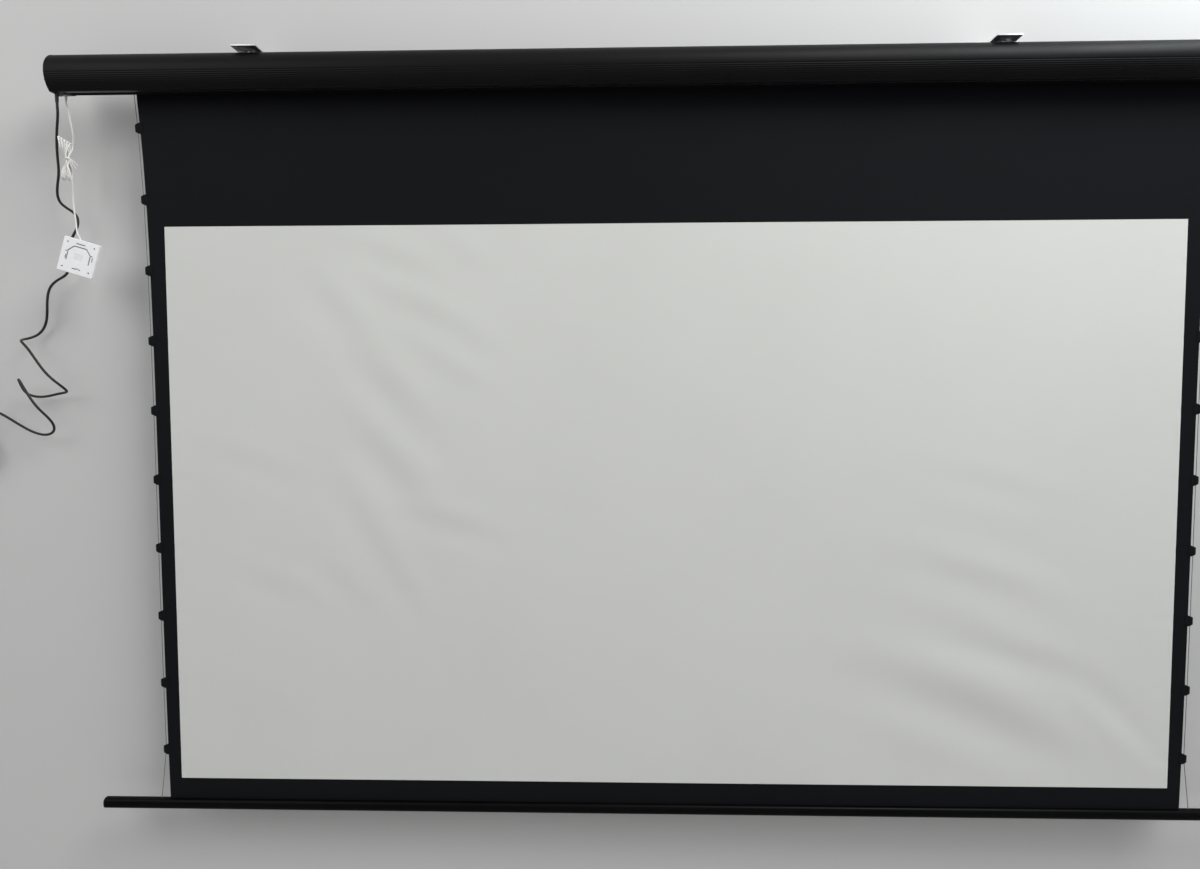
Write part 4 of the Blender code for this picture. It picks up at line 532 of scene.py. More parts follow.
# The signal cord is a thin white round cord of 1.3 m from a socket in the foot to the
# wall control. Its spare length is folded into five long loops, tied at the waist, whose
# tops splay out to the left and fall to the right.
SIGNAL_R = 0.00175
JACK_PLACE = (CORD_X + 0.0118, AXIS_Y + 0.0043, 0.0)
JACK_LOW_Z = FLOOR_LOW_Z - GAP - 0.0015
BOOT_TOP_Z = JACK_LOW_Z - GAP
BOOT_LOW_Z = BOOT_TOP_Z - 0.012
SIGNAL_UPPER = [
    (-1.3802, -0.1000, -0.1284), (-1.3768, -0.1000, -0.1504), (-1.3752, -0.0960, -0.1748),
    (-1.3782, -0.0885, -0.1960), (-1.3820, -0.0857, -0.2105), (-1.3868, -0.0864, -0.2230),
]
SIGNAL_LOWER = [
    (-1.3780, -0.1125, -0.2580), (-1.3738, -0.1145, -0.2735), (-1.3712, -0.1115, -0.2890),
    (-1.3728, -0.1060, -0.3030), (-1.3768, -0.0990, -0.3290), (-1.3763, -0.0968, -0.3620),
    (-1.3722, -0.0985, -0.3920), (-1.3666, -0.1030, -0.4130),
]
HANK_LOOPS = 5
HANK_CENTRE = np.array((-1.3861, -0.0990, -0.2413))
HANK_TOP = 0.0365
HANK_LOW = 0.0395
HANK_END_R = 0.0065
HANK_WAIST = 0.0027
HANK_STEP = 0.0041
HANK_YAW_TOP = math.radians(14.0)
HANK_YAW_WAIST = math.radians(-60.0)
HANK_YAW_LOW = math.radians(12.0)
HANK_LEAN = 0.085
HANK_BOW = 0.130
HANK_BOW_SOFT = 0.010
HANK_FAN = 7.0
HANK_FALL = 0.087
HANK_UNEVEN = 0.04
CONTROL_CENTRE = np.array((-1.3640, -0.105, -0.4680))
CONTROL_TURN = math.radians(16.6)
CONTROL_ENTRY_X = -0.0075
CONTROL_W = 0.086
CONTROL_H = 0.080
WHITE_LEAD = new_finish("white_lead", ((0.74, 0.73, 0.70), (0.80, 0.79, 0.77)), (0.4, 0.55),
                        patch=40.0, grain=1800.0, depth=0.00001)


def hank_place(along, side, stack):
    """From the waist's middle: up by along, across a loop by side, and from loop to loop by
    stack. At the waist the loops lie one behind the other. Above and below it the whole
    section turns until they lie side by side, and above it they also fan out."""
    share = soft_step(np.abs(along) / np.where(along > 0.0, HANK_TOP, HANK_LOW))
    end_yaw = np.where(along > 0.0, HANK_YAW_TOP, HANK_YAW_LOW)
    yaw = HANK_YAW_WAIST + (end_yaw - HANK_YAW_WAIST) * share
    bow = np.sqrt(along**2 + HANK_BOW_SOFT**2) - HANK_BOW_SOFT
    across = stack * (1.0 + HANK_FAN * np.maximum(0.0, along))
    x = -side * np.sin(yaw) - across * np.cos(yaw) - HANK_LEAN * along - HANK_BOW * bow
    y = side * np.cos(yaw) - across * np.sin(yaw)
    return HANK_CENTRE + np.stack([x, y, along + 0.0 * x], axis=-1)


def hank_path():
    """Long loops in 24 steps each: down the near side, half a turn below, up the far side
    while it moves on by one cord, half a turn above, and down to the waist again. Each loop
    is a little shorter above the tie than the one before, and below it they end unevenly."""
    step = np.arange(HANK_LOOPS * 24 + 1) % 24
    loop = np.arange(HANK_LOOPS * 24 + 1) // 24
    low_turn = np.pi * (step - 3) / 6
    high_turn = np.pi * (step - 15) / 6
    places = [step <= 3, step <= 9, step <= 15, step <= 21]
    along = np.select(places, [
        -HANK_LOW * step / 3, -HANK_LOW - HANK_END_R * np.sin(low_turn),
        -HANK_LOW + (HANK_LOW + HANK_TOP) * (step - 9) / 6,
        HANK_TOP + HANK_END_R * np.sin(high_turn),
    ], HANK_TOP * (24 - step) / 3)
    share = soft_step(np.abs(along) / np.where(along > 0.0, HANK_TOP, HANK_LOW))
    width = HANK_WAIST + (HANK_END_R - HANK_WAIST) * share
    side = np.select(places, [width, HANK_END_R * np.cos(low_turn), -width,
                              -HANK_END_R * np.cos(high_turn)], width)
    count = loop + np.clip((step - 9) / 6, 0.0, 1.0)
    taller = np.where(along > 0.0, HANK_FALL * (HANK_LOOPS / 2 + 0.5 - count),
                      HANK_UNEVEN * np.sin(2.4 * count))
    path = hank_place(along * (1.0 + taller), side, HANK_STEP * (HANK_LOOPS / 2 - count))
    lead = np.array(2.0 * SIGNAL_R)
    first = hank_place(lead, HANK_WAIST, HANK_STEP * HANK_LOOPS / 2)
    last = hank_place(-lead, HANK_WAIST, -HANK_STEP * HANK_LOOPS / 2)
    return np.vstack([first, path, last])


def beyond(path, reach):
    """Two places straight on past a path's start: one reach out, and 0.3 mm out."""
    outward = (path[0] - path[1]) / np.linalg.norm(path[0] - path[1])
    close = path[0] + outward * GAP
    return close + outward * reach, close


def in_control(points):
    """From the wall control's own frame, x right, y up and z to the viewer, to the room's."""
    c, s = math.cos(CONTROL_TURN), math.sin(CONTROL_TURN)
    x, y, z = np.moveaxis(np.asarray(points, dtype=float), -1, 0)
    return CONTROL_CENTRE + np.stack([x * c + y * s, -z, -x * s + y * c], axis=-1)


def off_control(points):
    """From the room's frame back to the wall control's own, as three arrays."""
    c, s = math.cos(CONTROL_TURN), math.sin(CONTROL_TURN)
    x, y, z = np.moveaxis(np.asarray(points, dtype=float) - CONTROL_CENTRE, -1, 0)
    return x * c - z * s, x * s + z * c, -y


hank = hank_path()
far, close = beyond(hank, 3.0 * SIGNAL_R)
start = np.array((JACK_PLACE[0], JACK_PLACE[1], BOOT_LOW_Z - GAP))
upper = smooth_path(np.vstack([start, start - (0.0, 0.0, 2.0 * SIGNAL_R), SIGNAL_UPPER, far,
                               close]), 0.0025)
far, close = beyond(hank[::-1], SIGNAL_R)
entry = in_control((CONTROL_ENTRY_X, CONTROL_H / 2 + 0.001, 0.0))
lower = smooth_path(np.vstack([close, far, SIGNAL_LOWER, entry, entry + (0.0014, 0.0, -0.0058)]),
                    0.0025)
signal_path = np.vstack([upper, smooth_path(hank, 0.0022), lower])
signal_cord = round_cord("signal_cord", signal_path, SIGNAL_R, WHITE_LEAD,
                         ("signal_cord_upper", "signal_hank", "signal_cord_lower"))

# Socket and plug: a grey moulded jack with a chamfered flange under the foot's floor, and
# in it a straight plug with a white ringed boot that ends on the cord.
GREY_MOULDING = new_finish("grey_moulding", ((0.30, 0.30, 0.295), (0.37, 0.37, 0.36)),
                           (0.4, 0.52), patch=80.0, grain=2600.0, depth=0.00001)
JACK_TOP_Z = -0.0900
BOOT_RINGS = 12
BOOT_GROOVE = 0.0003
jack_radii = [0.0038, 0.0038, 0.0055, 0.0055, 0.0049, 0.0030, 0.0027, 0.0021, 0.0021]
jack_heights = [JACK_TOP_Z, FLOOR_LOW_Z - GAP, FLOOR_LOW_Z - GAP, JACK_LOW_Z + 0.0006, JACK_LOW_Z,
                JACK_LOW_Z, JACK_LOW_Z + 0.0002, JACK_LOW_Z + 0.0003, JACK_TOP_Z]
put_mesh("signal_socket", [turned(jack_radii, jack_heights, JACK_PLACE, ring=True)],
         GREY_MOULDING, stands_for=("signal_jack",), sharp_deg=50.0)
boot_share = np.linspace(0.0, 1.0, 41)
boot_taper = np.interp(boot_share, [0.0, 0.35, 1.0], [0.0030, 0.0027, 0.0022])
boot_rings = 0.5 - 0.5 * np.cos(2.0 * np.pi * BOOT_RINGS * boot_share)
boot_taper -= BOOT_GROOVE * (boot_share > 0.4) * boot_rings
boot_radii = [0.0, 0.0012, 0.0017, 0.0017, 0.0028, *boot_taper, 0.0]
boot_heights = [JACK_TOP_Z, JACK_TOP_Z, JACK_TOP_Z - 0.0008, BOOT_TOP_Z, BOOT_TOP_Z,
                *(BOOT_TOP_Z - 0.0003 - 0.0117 * boot_share), BOOT_LOW_Z]
boot = put_mesh("signal_boot", [turned(boot_radii, boot_heights, JACK_PLACE, sides=32)],
                WHITE_LEAD, stands_for=("signal_plug",), sharp_deg=50.0)

# The hank's tie is a white plastic-covered wire: a flat band round the waist, twisted
# together twice at the corner, with its two ends left long and springing away.
WHITE_TIE = new_finish("white_tie", ((0.78, 0.78, 0.77), (0.84, 0.84, 0.83)), (0.35, 0.5),
                       patch=120.0, grain=2200.0, depth=0.00001)
WAIST_A = HANK_STEP * HANK_LOOPS / 2 + SIGNAL_R + GAP
WAIST_B = HANK_WAIST + SIGNAL_R + GAP
BAND_WIDTH = 0.003
TAIL_OUT = 0.0007
TAIL_HALVES = (0.00095, 0.00045)
TAILS = ((0.0215, 0.0190), (0.0165, 0.0255))


def carried_round(path, half_wide, half_thick):
    """An oval section carried along a path: its thickness follows the path's turned-away
    normal, found from one fixed side vector, and its ends are closed."""
    along = np.gradient(path, axis=0)
    along /= np.linalg.norm(along, axis=1)[:, None]
    side = np.cross(along, (0.25, 1.0, 0.1))
    side /= np.linalg.norm(side, axis=1)[:, None]
    out = np.cross(side, along)
    turn = np.linspace(0.0, 2.0 * np.pi, 12, endpoint=False)
    rings = (path[:, None, :] + half_wide * np.cos(turn)[None, :, None] * side[:, None, :]
             + half_thick * np.sin(turn)[None, :, None] * out[:, None, :])
    return lofted(rings)


band_points, band_faces = strap_loop(WAIST_A, WAIST_B, BAND_WIDTH, power=4.0)
band_points = band_points[:, [0, 2, 1]]
c, s = math.cos(HANK_YAW_WAIST), math.sin(HANK_YAW_WAIST)
band_points = HANK_CENTRE + np.column_stack([
    -band_points[:, 2] * s - band_points[:, 0] * c,
    band_points[:, 2] * c - band_points[:, 0] * s, band_points[:, 1]])
corner = hank_place(np.array(0.0), 0.7 * WAIST_B, -WAIST_A - TIE_WALL / 2)
tie_parts = [(band_points, band_faces)]
for reach, drop in TAILS:
    tail = smooth_path(corner + np.array([(0.0, 0.0, 0.0),
                                          (reach * 0.45, -4.0 * TAIL_OUT, -drop * 0.35),
                                          (reach, -3.0 * TAIL_OUT, -drop)]), 0.0008)
    tie_parts.append(carried_round(tail, *TAIL_HALVES))
hank_wire = put_mesh("hank_wire", tie_parts, WHITE_TIE,
                     stands_for=("hank_tie",))

# The wall control is a moulded white tray, 86 by 80 mm, hanging with its back to the room.
# Its back has an arched groove, screw holes, slots and a bare label place.
CONTROL_BACK = 0.0045
TRAY_MOUTH = -0.0020
TRAY_HOLE_X = 0.0320
TRAY_HOLE_Y = 0.0290
TRAY_CUT = 0.0016
TRAY_ROUND = 0.0011
TRAY_CORNER_R = 0.0025
TRAY_WALL = 0.0020
TRAY_HOLE_R = 0.0015
ARCH_HALF = 0.0270
ARCH_TOP = 0.0228
ARCH_CORNER = 0.0370
ARCH_LOW = -0.0120
ARCH_LINE = 0.0008
BACK_SLOTS = ((-0.0010, 0.0295, 0.0103, 0.0008), (-0.0300, -0.0050, 0.0007, 0.0040),
              (0.0330, 0.0020, 0.0007, 0.0050))
BACK_DOTS = ((-0.0314, 0.0077), (0.0303, 0.0100))
BACK_DOT_R = 0.0012
STEPPED_SLOT_Y = -0.0270
STEPPED_SLOT_DROP = 0.0012
LABEL_PLACE = (0.0, -0.0007, 0.0104, 0.0072)
WHITE_MOULDING = new_finish("white_moulding", ((0.80, 0.81, 0.82), (0.85, 0.86, 0.865)),
                            (0.3, 0.42), patch=60.0, grain=1600.0, depth=0.000012)


def band(distance, half, soft):
    """1 within half of a line, falling to 0 over the soft width beyond it."""
    return 1.0 - soft_step((distance - half) / soft)


def off_plate(x, y, place):
    """How far a point is outside a plate of given middle and half sizes, negative inside."""
    middle_x, middle_y, half_wide, half_tall = place
    return np.maximum(np.abs(x - middle_x) - half_wide, np.abs(y - middle_y) - half_tall)


def tray_cuts(x, y):
    """1 in the back's cuts, 0 beside them, by the distance to the nearest: four screw holes,
    an arched groove of straight runs, a slot at the top, a stepped one at the bottom, and a
    dot and slot at each side."""
    holes = np.hypot(np.abs(x) - TRAY_HOLE_X, np.abs(y) - TRAY_HOLE_Y) - TRAY_HOLE_R
    arch = np.maximum(np.abs(x) - ARCH_HALF,
                      np.maximum(y - ARCH_TOP, 0.7071 * (np.abs(x) + y - ARCH_CORNER)))
    arch = np.maximum(np.abs(arch) - ARCH_LINE, ARCH_LOW - y)
    drop = STEPPED_SLOT_DROP * soft_step((np.abs(x - 0.0045) - 0.0015) / 0.0020)
    stepped = off_plate(x, y, (0.0020, STEPPED_SLOT_Y - drop, 0.0100, 0.0007))
    slots = [off_plate(x, y, slot) for slot in BACK_SLOTS]
    dots = [np.hypot(x - dot_x, y - dot_y) - BACK_DOT_R for dot_x, dot_y in BACK_DOTS]
    return band(np.minimum.reduce([holes, arch, stepped, *slots, *dots]), 0.0, 0.0004)


def tray_label(x, y):
    """1 on the bare label place in the middle, falling softly to 0 round it."""
    return band(off_plate(x, y, LABEL_PLACE), 0.0, 0.0008)


def tray_relief(x, y):
    """Height of the tray's back: a quarter circle at the border, a low bead round each screw
    hole, the label place sunk a little, and the cuts."""
    border = np.minimum(CONTROL_W / 2 - np.abs(x), CONTROL_H / 2 - np.abs(y))
    inward = 1.0 - np.clip(border / TRAY_ROUND, 0.0, 1.0)
    height = -TRAY_ROUND * (1.0 - np.sqrt(1.0 - inward**2))
    holes = np.hypot(np.abs(x) - TRAY_HOLE_X, np.abs(y) - TRAY_HOLE_Y)
    height += 0.0003 * band(np.abs(holes - 0.0030), 0.0002, 0.0005)
    return height - 0.0002 * tray_label(x, y) - TRAY_CUT * tray_cuts(x, y)


def tray_surface():
    """The back as a grid whose corners are drawn in to a radius, its border carried down
    the walls to the mouth, round the rim's edge and up again inside."""
    columns, rows = 173, 161
    x, y = np.meshgrid(np.linspace(-CONTROL_W / 2, CONTROL_W / 2, columns),
                       np.linspace(-CONTROL_H / 2, CONTROL_H / 2, rows))
    height = CONTROL_BACK + tray_relief(x, y)
    dx = np.maximum(np.abs(x) - CONTROL_W / 2 + TRAY_CORNER_R, 0.0)
    dy = np.maximum(np.abs(y) - CONTROL_H / 2 + TRAY_CORNER_R, 0.0)
    shrink = np.maximum(dx, dy) / np.maximum(np.hypot(dx, dy), 1e-9)
    both = (dx > 0.0) & (dy > 0.0)
    x = np.where(both, np.sign(x) * (CONTROL_W / 2 - TRAY_CORNER_R + dx * shrink), x)
    y = np.where(both, np.sign(y) * (CONTROL_H / 2 - TRAY_CORNER_R + dy * shrink), y)
    grid = np.stack([x, y, height], axis=-1).reshape(-1, 3)
    rim = grid[grid_border(rows, columns)]
    inner = rim * (1.0 - 2.0 * TRAY_WALL / CONTROL_W, 1.0 - 2.0 * TRAY_WALL / CONTROL_H, 1.0)
    floor = CONTROL_BACK - TRAY_WALL - 0.0002
    walls = [rim, rim * (1, 1, 0) + (0, 0, TRAY_MOUTH), inner * (1, 1, 0) + (0, 0, TRAY_MOUTH),
             inner * (1, 1, 0) + (0, 0, floor)]
    inside = (np.arange(len(rim)) + 3 * len(rim))[None, :]
    return [(in_control(grid), [grid_faces(rows, columns)]),
            (in_control(np.vstack(walls)), [grid_faces(4, len(rim), join_columns=True), inside])]


def tray_finish():
    """The moulding's white, darkened in the cuts as painted shade, and a faint grey on the label
    place, from the surface's own recess values."""
    material = new_finish("tray_moulding", ((0.84, 0.845, 0.85), (0.89, 0.89, 0.895)),
                          (0.32, 0.45), patch=60.0, grain=1600.0, depth=0.000012)
    tree = material.node_tree
    base = tree.nodes["Principled BSDF"].inputs["Base Color"]
    # The dark tone in the cuts is painted shade.
    recess = add_node(tree, "ShaderNodeAttribute", attribute_name="recess").outputs["Fac"]
    tree.links.new(mixed_tones(tree, recess, base.links[0].from_socket, (0.10, 0.10, 0.105)), base)
    return material


control_back = put_mesh("control_back", tray_surface(), tray_finish(),
                        stands_for=("control_plate",), sharp_deg=60.0)
tray_points = np.empty(3 * len(control_back.data.vertices), dtype=np.float32)
control_back.data.vertices.foreach_get("co", tray_points)
tray_x, tray_y, tray_z = off_control(tray_points.reshape(-1, 3))
# Painted shade: the cuts are given a dark colour, and the label place a faint grey.
recess = np.maximum(tray_cuts(tray_x, tray_y), 0.10 * tray_label(tray_x, tray_y))
recess = np.where(tray_z > CONTROL_BACK - 0.0021, recess, 0.0)
layer = control_back.data.attributes.new("recess", "FLOAT", "POINT")
layer.data.foreach_set("value", recess.astype(np.float32))


def eased_copy(node, name, material, width, body="casing"):
    """A CAD piece's own shape with its edges eased: its triangles are welded, flat ones
    are joined, and every edge past 30 degrees gets a small rounded bevel."""
    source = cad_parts[node]
    mesh = source.data.copy()
    mesh.name = name
    mesh.transform(source.matrix_world)
    work = bmesh.new()
    work.from_mesh(mesh)
    bmesh.ops.remove_doubles(work, verts=work.verts, dist=0.000002)
    bmesh.ops.dissolve_limit(work, angle_limit=math.radians(0.5), verts=work.verts,
                             edges=work.edges)
    bmesh.ops.recalc_face_normals(work, faces=work.faces)
    work.to_mesh(mesh)
    work.free()
    mesh.shade_smooth()
    mesh.materials.clear()
    piece = place_piece(name, mesh, material, body, (node,))
    ease = piece.modifiers.new("eased_edges", "BEVEL")
    ease.width = width
    ease.segments = 2
    ease.limit_method = "ANGLE"
    ease.angle_limit = math.radians(30.0)
    ease.harden_normals = True


# Its front, which faces the wall: a snap-on cover with three push buttons for up, stop
# and down, each with a small raised mark, over a circuit board.
eased_copy("control_cover", "control_front", WHITE_MOULDING, 0.0005)
MARK_GREY = new_finish("mark_grey", ((0.20, 0.20, 0.205), (0.24, 0.24, 0.245)), (0.4, 0.5),
                       patch=200.0, grain=3000.0, depth=0.000005)
BUTTON_PITCH = 0.020
BUTTON_FACE = -0.0060
BUTTON_MARKS = {
    "up": ((-0.0028, -0.0018), (0.0028, -0.0018), (0.0, 0.0028)),
    "stop": ((-0.002, -0.002), (0.002, -0.002), (0.002, 0.002), (-0.002, 0.002)),
    "down": ((-0.0028, 0.0018), (0.0, -0.0028), (0.0028, 0.0018)),
}
for row, (word, mark) in zip((1, 0, -1), BUTTON_MARKS.items()):
    eased_copy(f"button_{word}", f"push_{word}", WHITE_MOULDING, 0.0004, f"button_{word}")
    outline = np.array(mark) + (0.0, row * BUTTON_PITCH)
    levels = [np.column_stack([outline, np.full(len(outline), z)])
              for z in (BUTTON_FACE + 0.0003, BUTTON_FACE - 0.0002)]
    put_mesh(f"mark_{word}", [lofted(in_control(np.array(levels)))], MARK_GREY,
             f"button_{word}")


def board_finish():
    """Green solder mask over copper: tracks where two stretched noises are level, and a
    grid of small tinned pads."""
    material, tree, shader = new_material("green_board", Roughness=0.35)
    place = add_node(tree, "ShaderNodeTexCoord").outputs["Object"]
    cells = add_node(tree, "ShaderNodeTexVoronoi", {"Vector": place, "Scale": 330.0},
                     distance="CHEBYCHEV", feature="DISTANCE_TO_EDGE")
    track = worked_out(tree, "LESS_THAN", cells.outputs["Distance"], 0.10)
    spots = add_node(tree, "ShaderNodeTexVoronoi", {"Vector": place, "Scale": 420.0,
                                                    "Randomness": 0.4})
    pads = worked_out(tree, "LESS_THAN", spots.outputs["Distance"], 0.16)
    green = mixed_tones(tree, track, (0.02, 0.10, 0.04), (0.05, 0.19, 0.08))
    tree.links.new(mixed_tones(tree, pads, green, (0.62, 0.60, 0.55)), shader.inputs["Base Color"])
    tree.links.new(pads, shader.inputs["Metallic"])
    tree.links.new(relief_from(tree, track, 0.00005, Strength=0.6), shader.inputs["Normal"])
    return material


GREEN_BOARD = board_finish()
dress(GREEN_BOARD, "control_board", "circuit_board")

# The casing is one aluminium extrusion, 2.8 m long, open below for the cloth: a hanging
# channel on top, screw ports inside, fine flutes on the lower front, and black powder coat.
CASING_HALF = 1.4012
CASING_R = 0.044
CASING_WALL = 0.0018
FRONT_R = CASING_R + 0.012
FRONT_U = FRONT_R - CASING_R
BOTTOM_V = -0.0425
INNER_R = CASING_R - CASING_WALL
FRONT_INNER_R = FRONT_R - CASING_WALL
REAR_LIP_DEG = -26.0
CORNER_DEG = 180.0 + math.degrees(math.asin(-BOTTOM_V / FRONT_R))
CORNER_U = FRONT_U + FRONT_R * math.cos(math.radians(CORNER_DEG))
LIP_END_U = CORNER_U + 0.004
LEDGE_END_U = CORNER_U + 0.008
LEDGE_LOW_V = BOTTOM_V + 0.0014 + GAP
LEDGE_TOP_V = LEDGE_LOW_V + 0.0014
CHANNEL_MOUTH = 0.00425
CHANNEL_HALF = 0.0075
CHANNEL_ROOF_V = 0.042
CHANNEL_FLOOR_V = CASING_R - 0.0075
FLUTES = (9, 184.0, 225.0, 0.0005)
PORT_INSET = 0.0026
PORT_BOSS_R = 0.0034
PORT_BORE_R = 0.0017
PORT_MOUTH = 0.0011
PORTS = ((0.0, INNER_R, 35.0), (FRONT_U, FRONT_INNER_R, 203.0))


def arc(cu, cv, radius, start_deg, end_deg, count):
    """Points on an arc about (cu, cv), both ends included."""
    turn = np.radians(np.linspace(start_deg, end_deg, count))
    return np.column_stack([cu + radius * np.cos(turn), cv + radius * np.sin(turn)])


def port_path(cu, radius, angle_deg):
    """A screw port on the inner wall, walked clockwise: boss, open bore, boss."""
    turn = math.radians(angle_deg)
    outward = np.array((math.cos(turn), math.sin(turn)))
    across = np.array((-outward[1], outward[0]))
    middle = np.array((cu, 0.0)) + outward * (radius - PORT_INSET)
    wall = math.degrees(math.acos(PORT_INSET / PORT_BOSS_R))
    boss = 180.0 - math.degrees(math.asin(PORT_MOUTH / PORT_BOSS_R))
    bore = 180.0 - math.degrees(math.asin(PORT_MOUTH / PORT_BORE_R))
    parts = []
    for reach, start, end, count in ((PORT_BOSS_R, wall, boss, 10), (PORT_BORE_R, bore, -bore, 18),
                                     (PORT_BOSS_R, -boss, -wall, 10)):
        around = np.radians(np.linspace(start, end, count))[:, None]
        parts.append(middle + reach * (np.cos(around) * outward + np.sin(around) * across))
    return np.vstack(parts)


def ported_arc(port, start_deg, end_deg, before, after):
    """The inner wall from one angle down to another, with its screw port between them."""
    cu, radius, angle = port
    half = math.degrees(math.atan2(math.sqrt(PORT_BOSS_R**2 - PORT_INSET**2), radius))
    return np.vstack([arc(cu, 0.0, radius, start_deg, angle + half, before)[:-1], port_path(*port),
                      arc(cu, 0.0, radius, angle - half, end_deg, after)[1:]])


def casing_outline():
    """The extrusion's section about the roller axis: the outer skin with its channel and
    flutes, the lip and ledge below, and the inner wall with its ports back again."""
    mouth_deg = math.degrees(math.asin(CHANNEL_MOUTH / CASING_R))
    channel = np.array([(CHANNEL_MOUTH, CHANNEL_ROOF_V), (CHANNEL_HALF, CHANNEL_ROOF_V),
                        (CHANNEL_HALF, CHANNEL_FLOOR_V)])
    count, first, last, depth = FLUTES
    share = np.linspace(0.0, 1.0, count * 8 + 1)
    fluted = np.radians(first + (last - first) * share)
    reach = FRONT_R - depth * 0.5 * (1.0 - np.cos(2.0 * np.pi * count * share))
    flutes = np.column_stack([FRONT_U + reach * np.cos(fluted), reach * np.sin(fluted)])
    upper_port, lower_port = PORTS
    ledge_deg = 180.0 + math.degrees(math.asin(-LEDGE_TOP_V / FRONT_INNER_R))
    wall = CHANNEL_HALF + CASING_WALL
    wall_deg = math.degrees(math.acos(wall / INNER_R))
    roof = CHANNEL_FLOOR_V - CASING_WALL
    return np.vstack([
        arc(0.0, 0.0, CASING_R, REAR_LIP_DEG, 90.0 - mouth_deg, 66),
        channel, channel[::-1] * (-1.0, 1.0),
        arc(0.0, 0.0, CASING_R, 90.0 + mouth_deg, 180.0, 54)[:-1],
        arc(FRONT_U, 0.0, FRONT_R, 180.0, first, 4)[:-1], flutes,
        arc(FRONT_U, 0.0, FRONT_R, last, CORNER_DEG, 6)[1:],
        [(LIP_END_U, BOTTOM_V), (LIP_END_U, LEDGE_LOW_V), (LEDGE_END_U, LEDGE_LOW_V),
         (LEDGE_END_U, LEDGE_TOP_V)],
        ported_arc(lower_port, ledge_deg, 180.0, 10, 10),
        arc(0.0, 0.0, INNER_R, 180.0, 180.0 - wall_deg, 36)[1:], [(-wall, roof), (wall, roof)],
        ported_arc(upper_port, wall_deg, REAR_LIP_DEG, 12, 24),
    ])


def along_x(outline, ends):
    """An outline in (y, z) carried along X, drawn about its middle where a level says so:
    each level is a place on X and how far the outline is drawn in there."""
    outline = np.asarray(outline, dtype=float)
    middle = (outline.max(axis=0) + outline.min(axis=0)) / 2
    half = np.ptp(outline, axis=0) / 2
    rings = [np.column_stack([np.full(len(outline), x),
                              middle + (outline - middle) * (1.0 - drawn / half)])
             for x, drawn in ends]
    return lofted(rings)


# Its lighter edge tone is a painted highlight.
POWDER_COAT = new_finish("powder_coat", ((0.0024, 0.0025, 0.0030), (0.0036, 0.0037, 0.0043)),
                         (0.40, 0.50), patch=5.0, grain=1100.0, depth=0.00002,
                         stretch=(0.55, 1.0, 1.0), edge_highlight=(0.012, 0.012, 0.013),
                         edge_radius=0.0008, Specular_IOR_Level=0.10)
AXIS = np.array((AXIS_Y, AXIS_Z))
put_mesh("casing", [along_x(casing_outline() + AXIS, [(-CASING_HALF, 0.0), (CASING_HALF, 0.0)])],
         POWDER_COAT, stands_for=("casing_shell",), sharp_deg=28.0)

# The bottom cover is a second, thin extrusion hooked over the casing's ledge. Its upright
# flange guides the cloth, and it lifts off to reach the roller.
COVER_HALF = 1.3702
COVER_REAR_U = 0.0063
cover_front = LIP_END_U + GAP
hook = LEDGE_END_U + GAP
hook_top = LEDGE_TOP_V + GAP
cover_outline = np.vstack([
    [(cover_front, BOTTOM_V)], arc(COVER_REAR_U - 0.0006, BOTTOM_V + 0.0006, 0.0006, -90, 0, 5),
    arc(COVER_REAR_U - 0.0007, BOTTOM_V + 0.0053, 0.0007, 0, 180, 7),
    [(COVER_REAR_U - 0.0014, BOTTOM_V + 0.0014), (hook + 0.0014, BOTTOM_V + 0.0014),
     (hook + 0.0014, hook_top + 0.0014), (cover_front, hook_top + 0.0014),
     (cover_front, hook_top), (hook, hook_top), (hook, BOTTOM_V + 0.0014),
     (cover_front, BOTTOM_V + 0.0014)],
])
SMOOTH_COAT = new_finish("smooth_coat", ((0.012, 0.0125, 0.014), (0.016, 0.0165, 0.018)),
                         (0.28, 0.34), patch=6.0, grain=1100.0, depth=0.000006,
                         stretch=(0.2, 1.0, 1.0), Specular_IOR_Level=0.6)
put_mesh("slot_cover", [along_x(cover_outline + AXIS, [(-COVER_HALF, 0.0), (COVER_HALF, 0.0)])],
         SMOOTH_COAT, stands_for=("bottom_cover",))

# A strip of black wool felt, 0.5 mm thick, is glued under the cover beside the slot, so that
# the cloth and the bar don't mark the paint.
FELT_HALF = COVER_HALF - 0.0012
FELT_FRONT_U = -0.0103
FELT_REAR_U = 0.0054
FELT_EASE = 0.0001
FELT = new_finish("black_felt", ((0.0035, 0.0035, 0.0038), (0.006, 0.006, 0.0063)), (0.85, 0.95),
                  patch=50.0, grain=2600.0, depth=0.00012, Specular_IOR_Level=0.05)
felt_top = BOTTOM_V - 0.00002
felt_low = BOTTOM_V - 0.0005
felt_outline = np.array([
    (FELT_FRONT_U, felt_top), (FELT_FRONT_U, felt_low + FELT_EASE),
    (FELT_FRONT_U + FELT_EASE, felt_low), (FELT_REAR_U - FELT_EASE, felt_low),
    (FELT_REAR_U, felt_low + FELT_EASE), (FELT_REAR_U, felt_top)])
put_mesh("slot_felt", [along_x(felt_outline + AXIS, [(-FELT_HALF, 0.0), (FELT_HALF, 0.0)])], FELT)

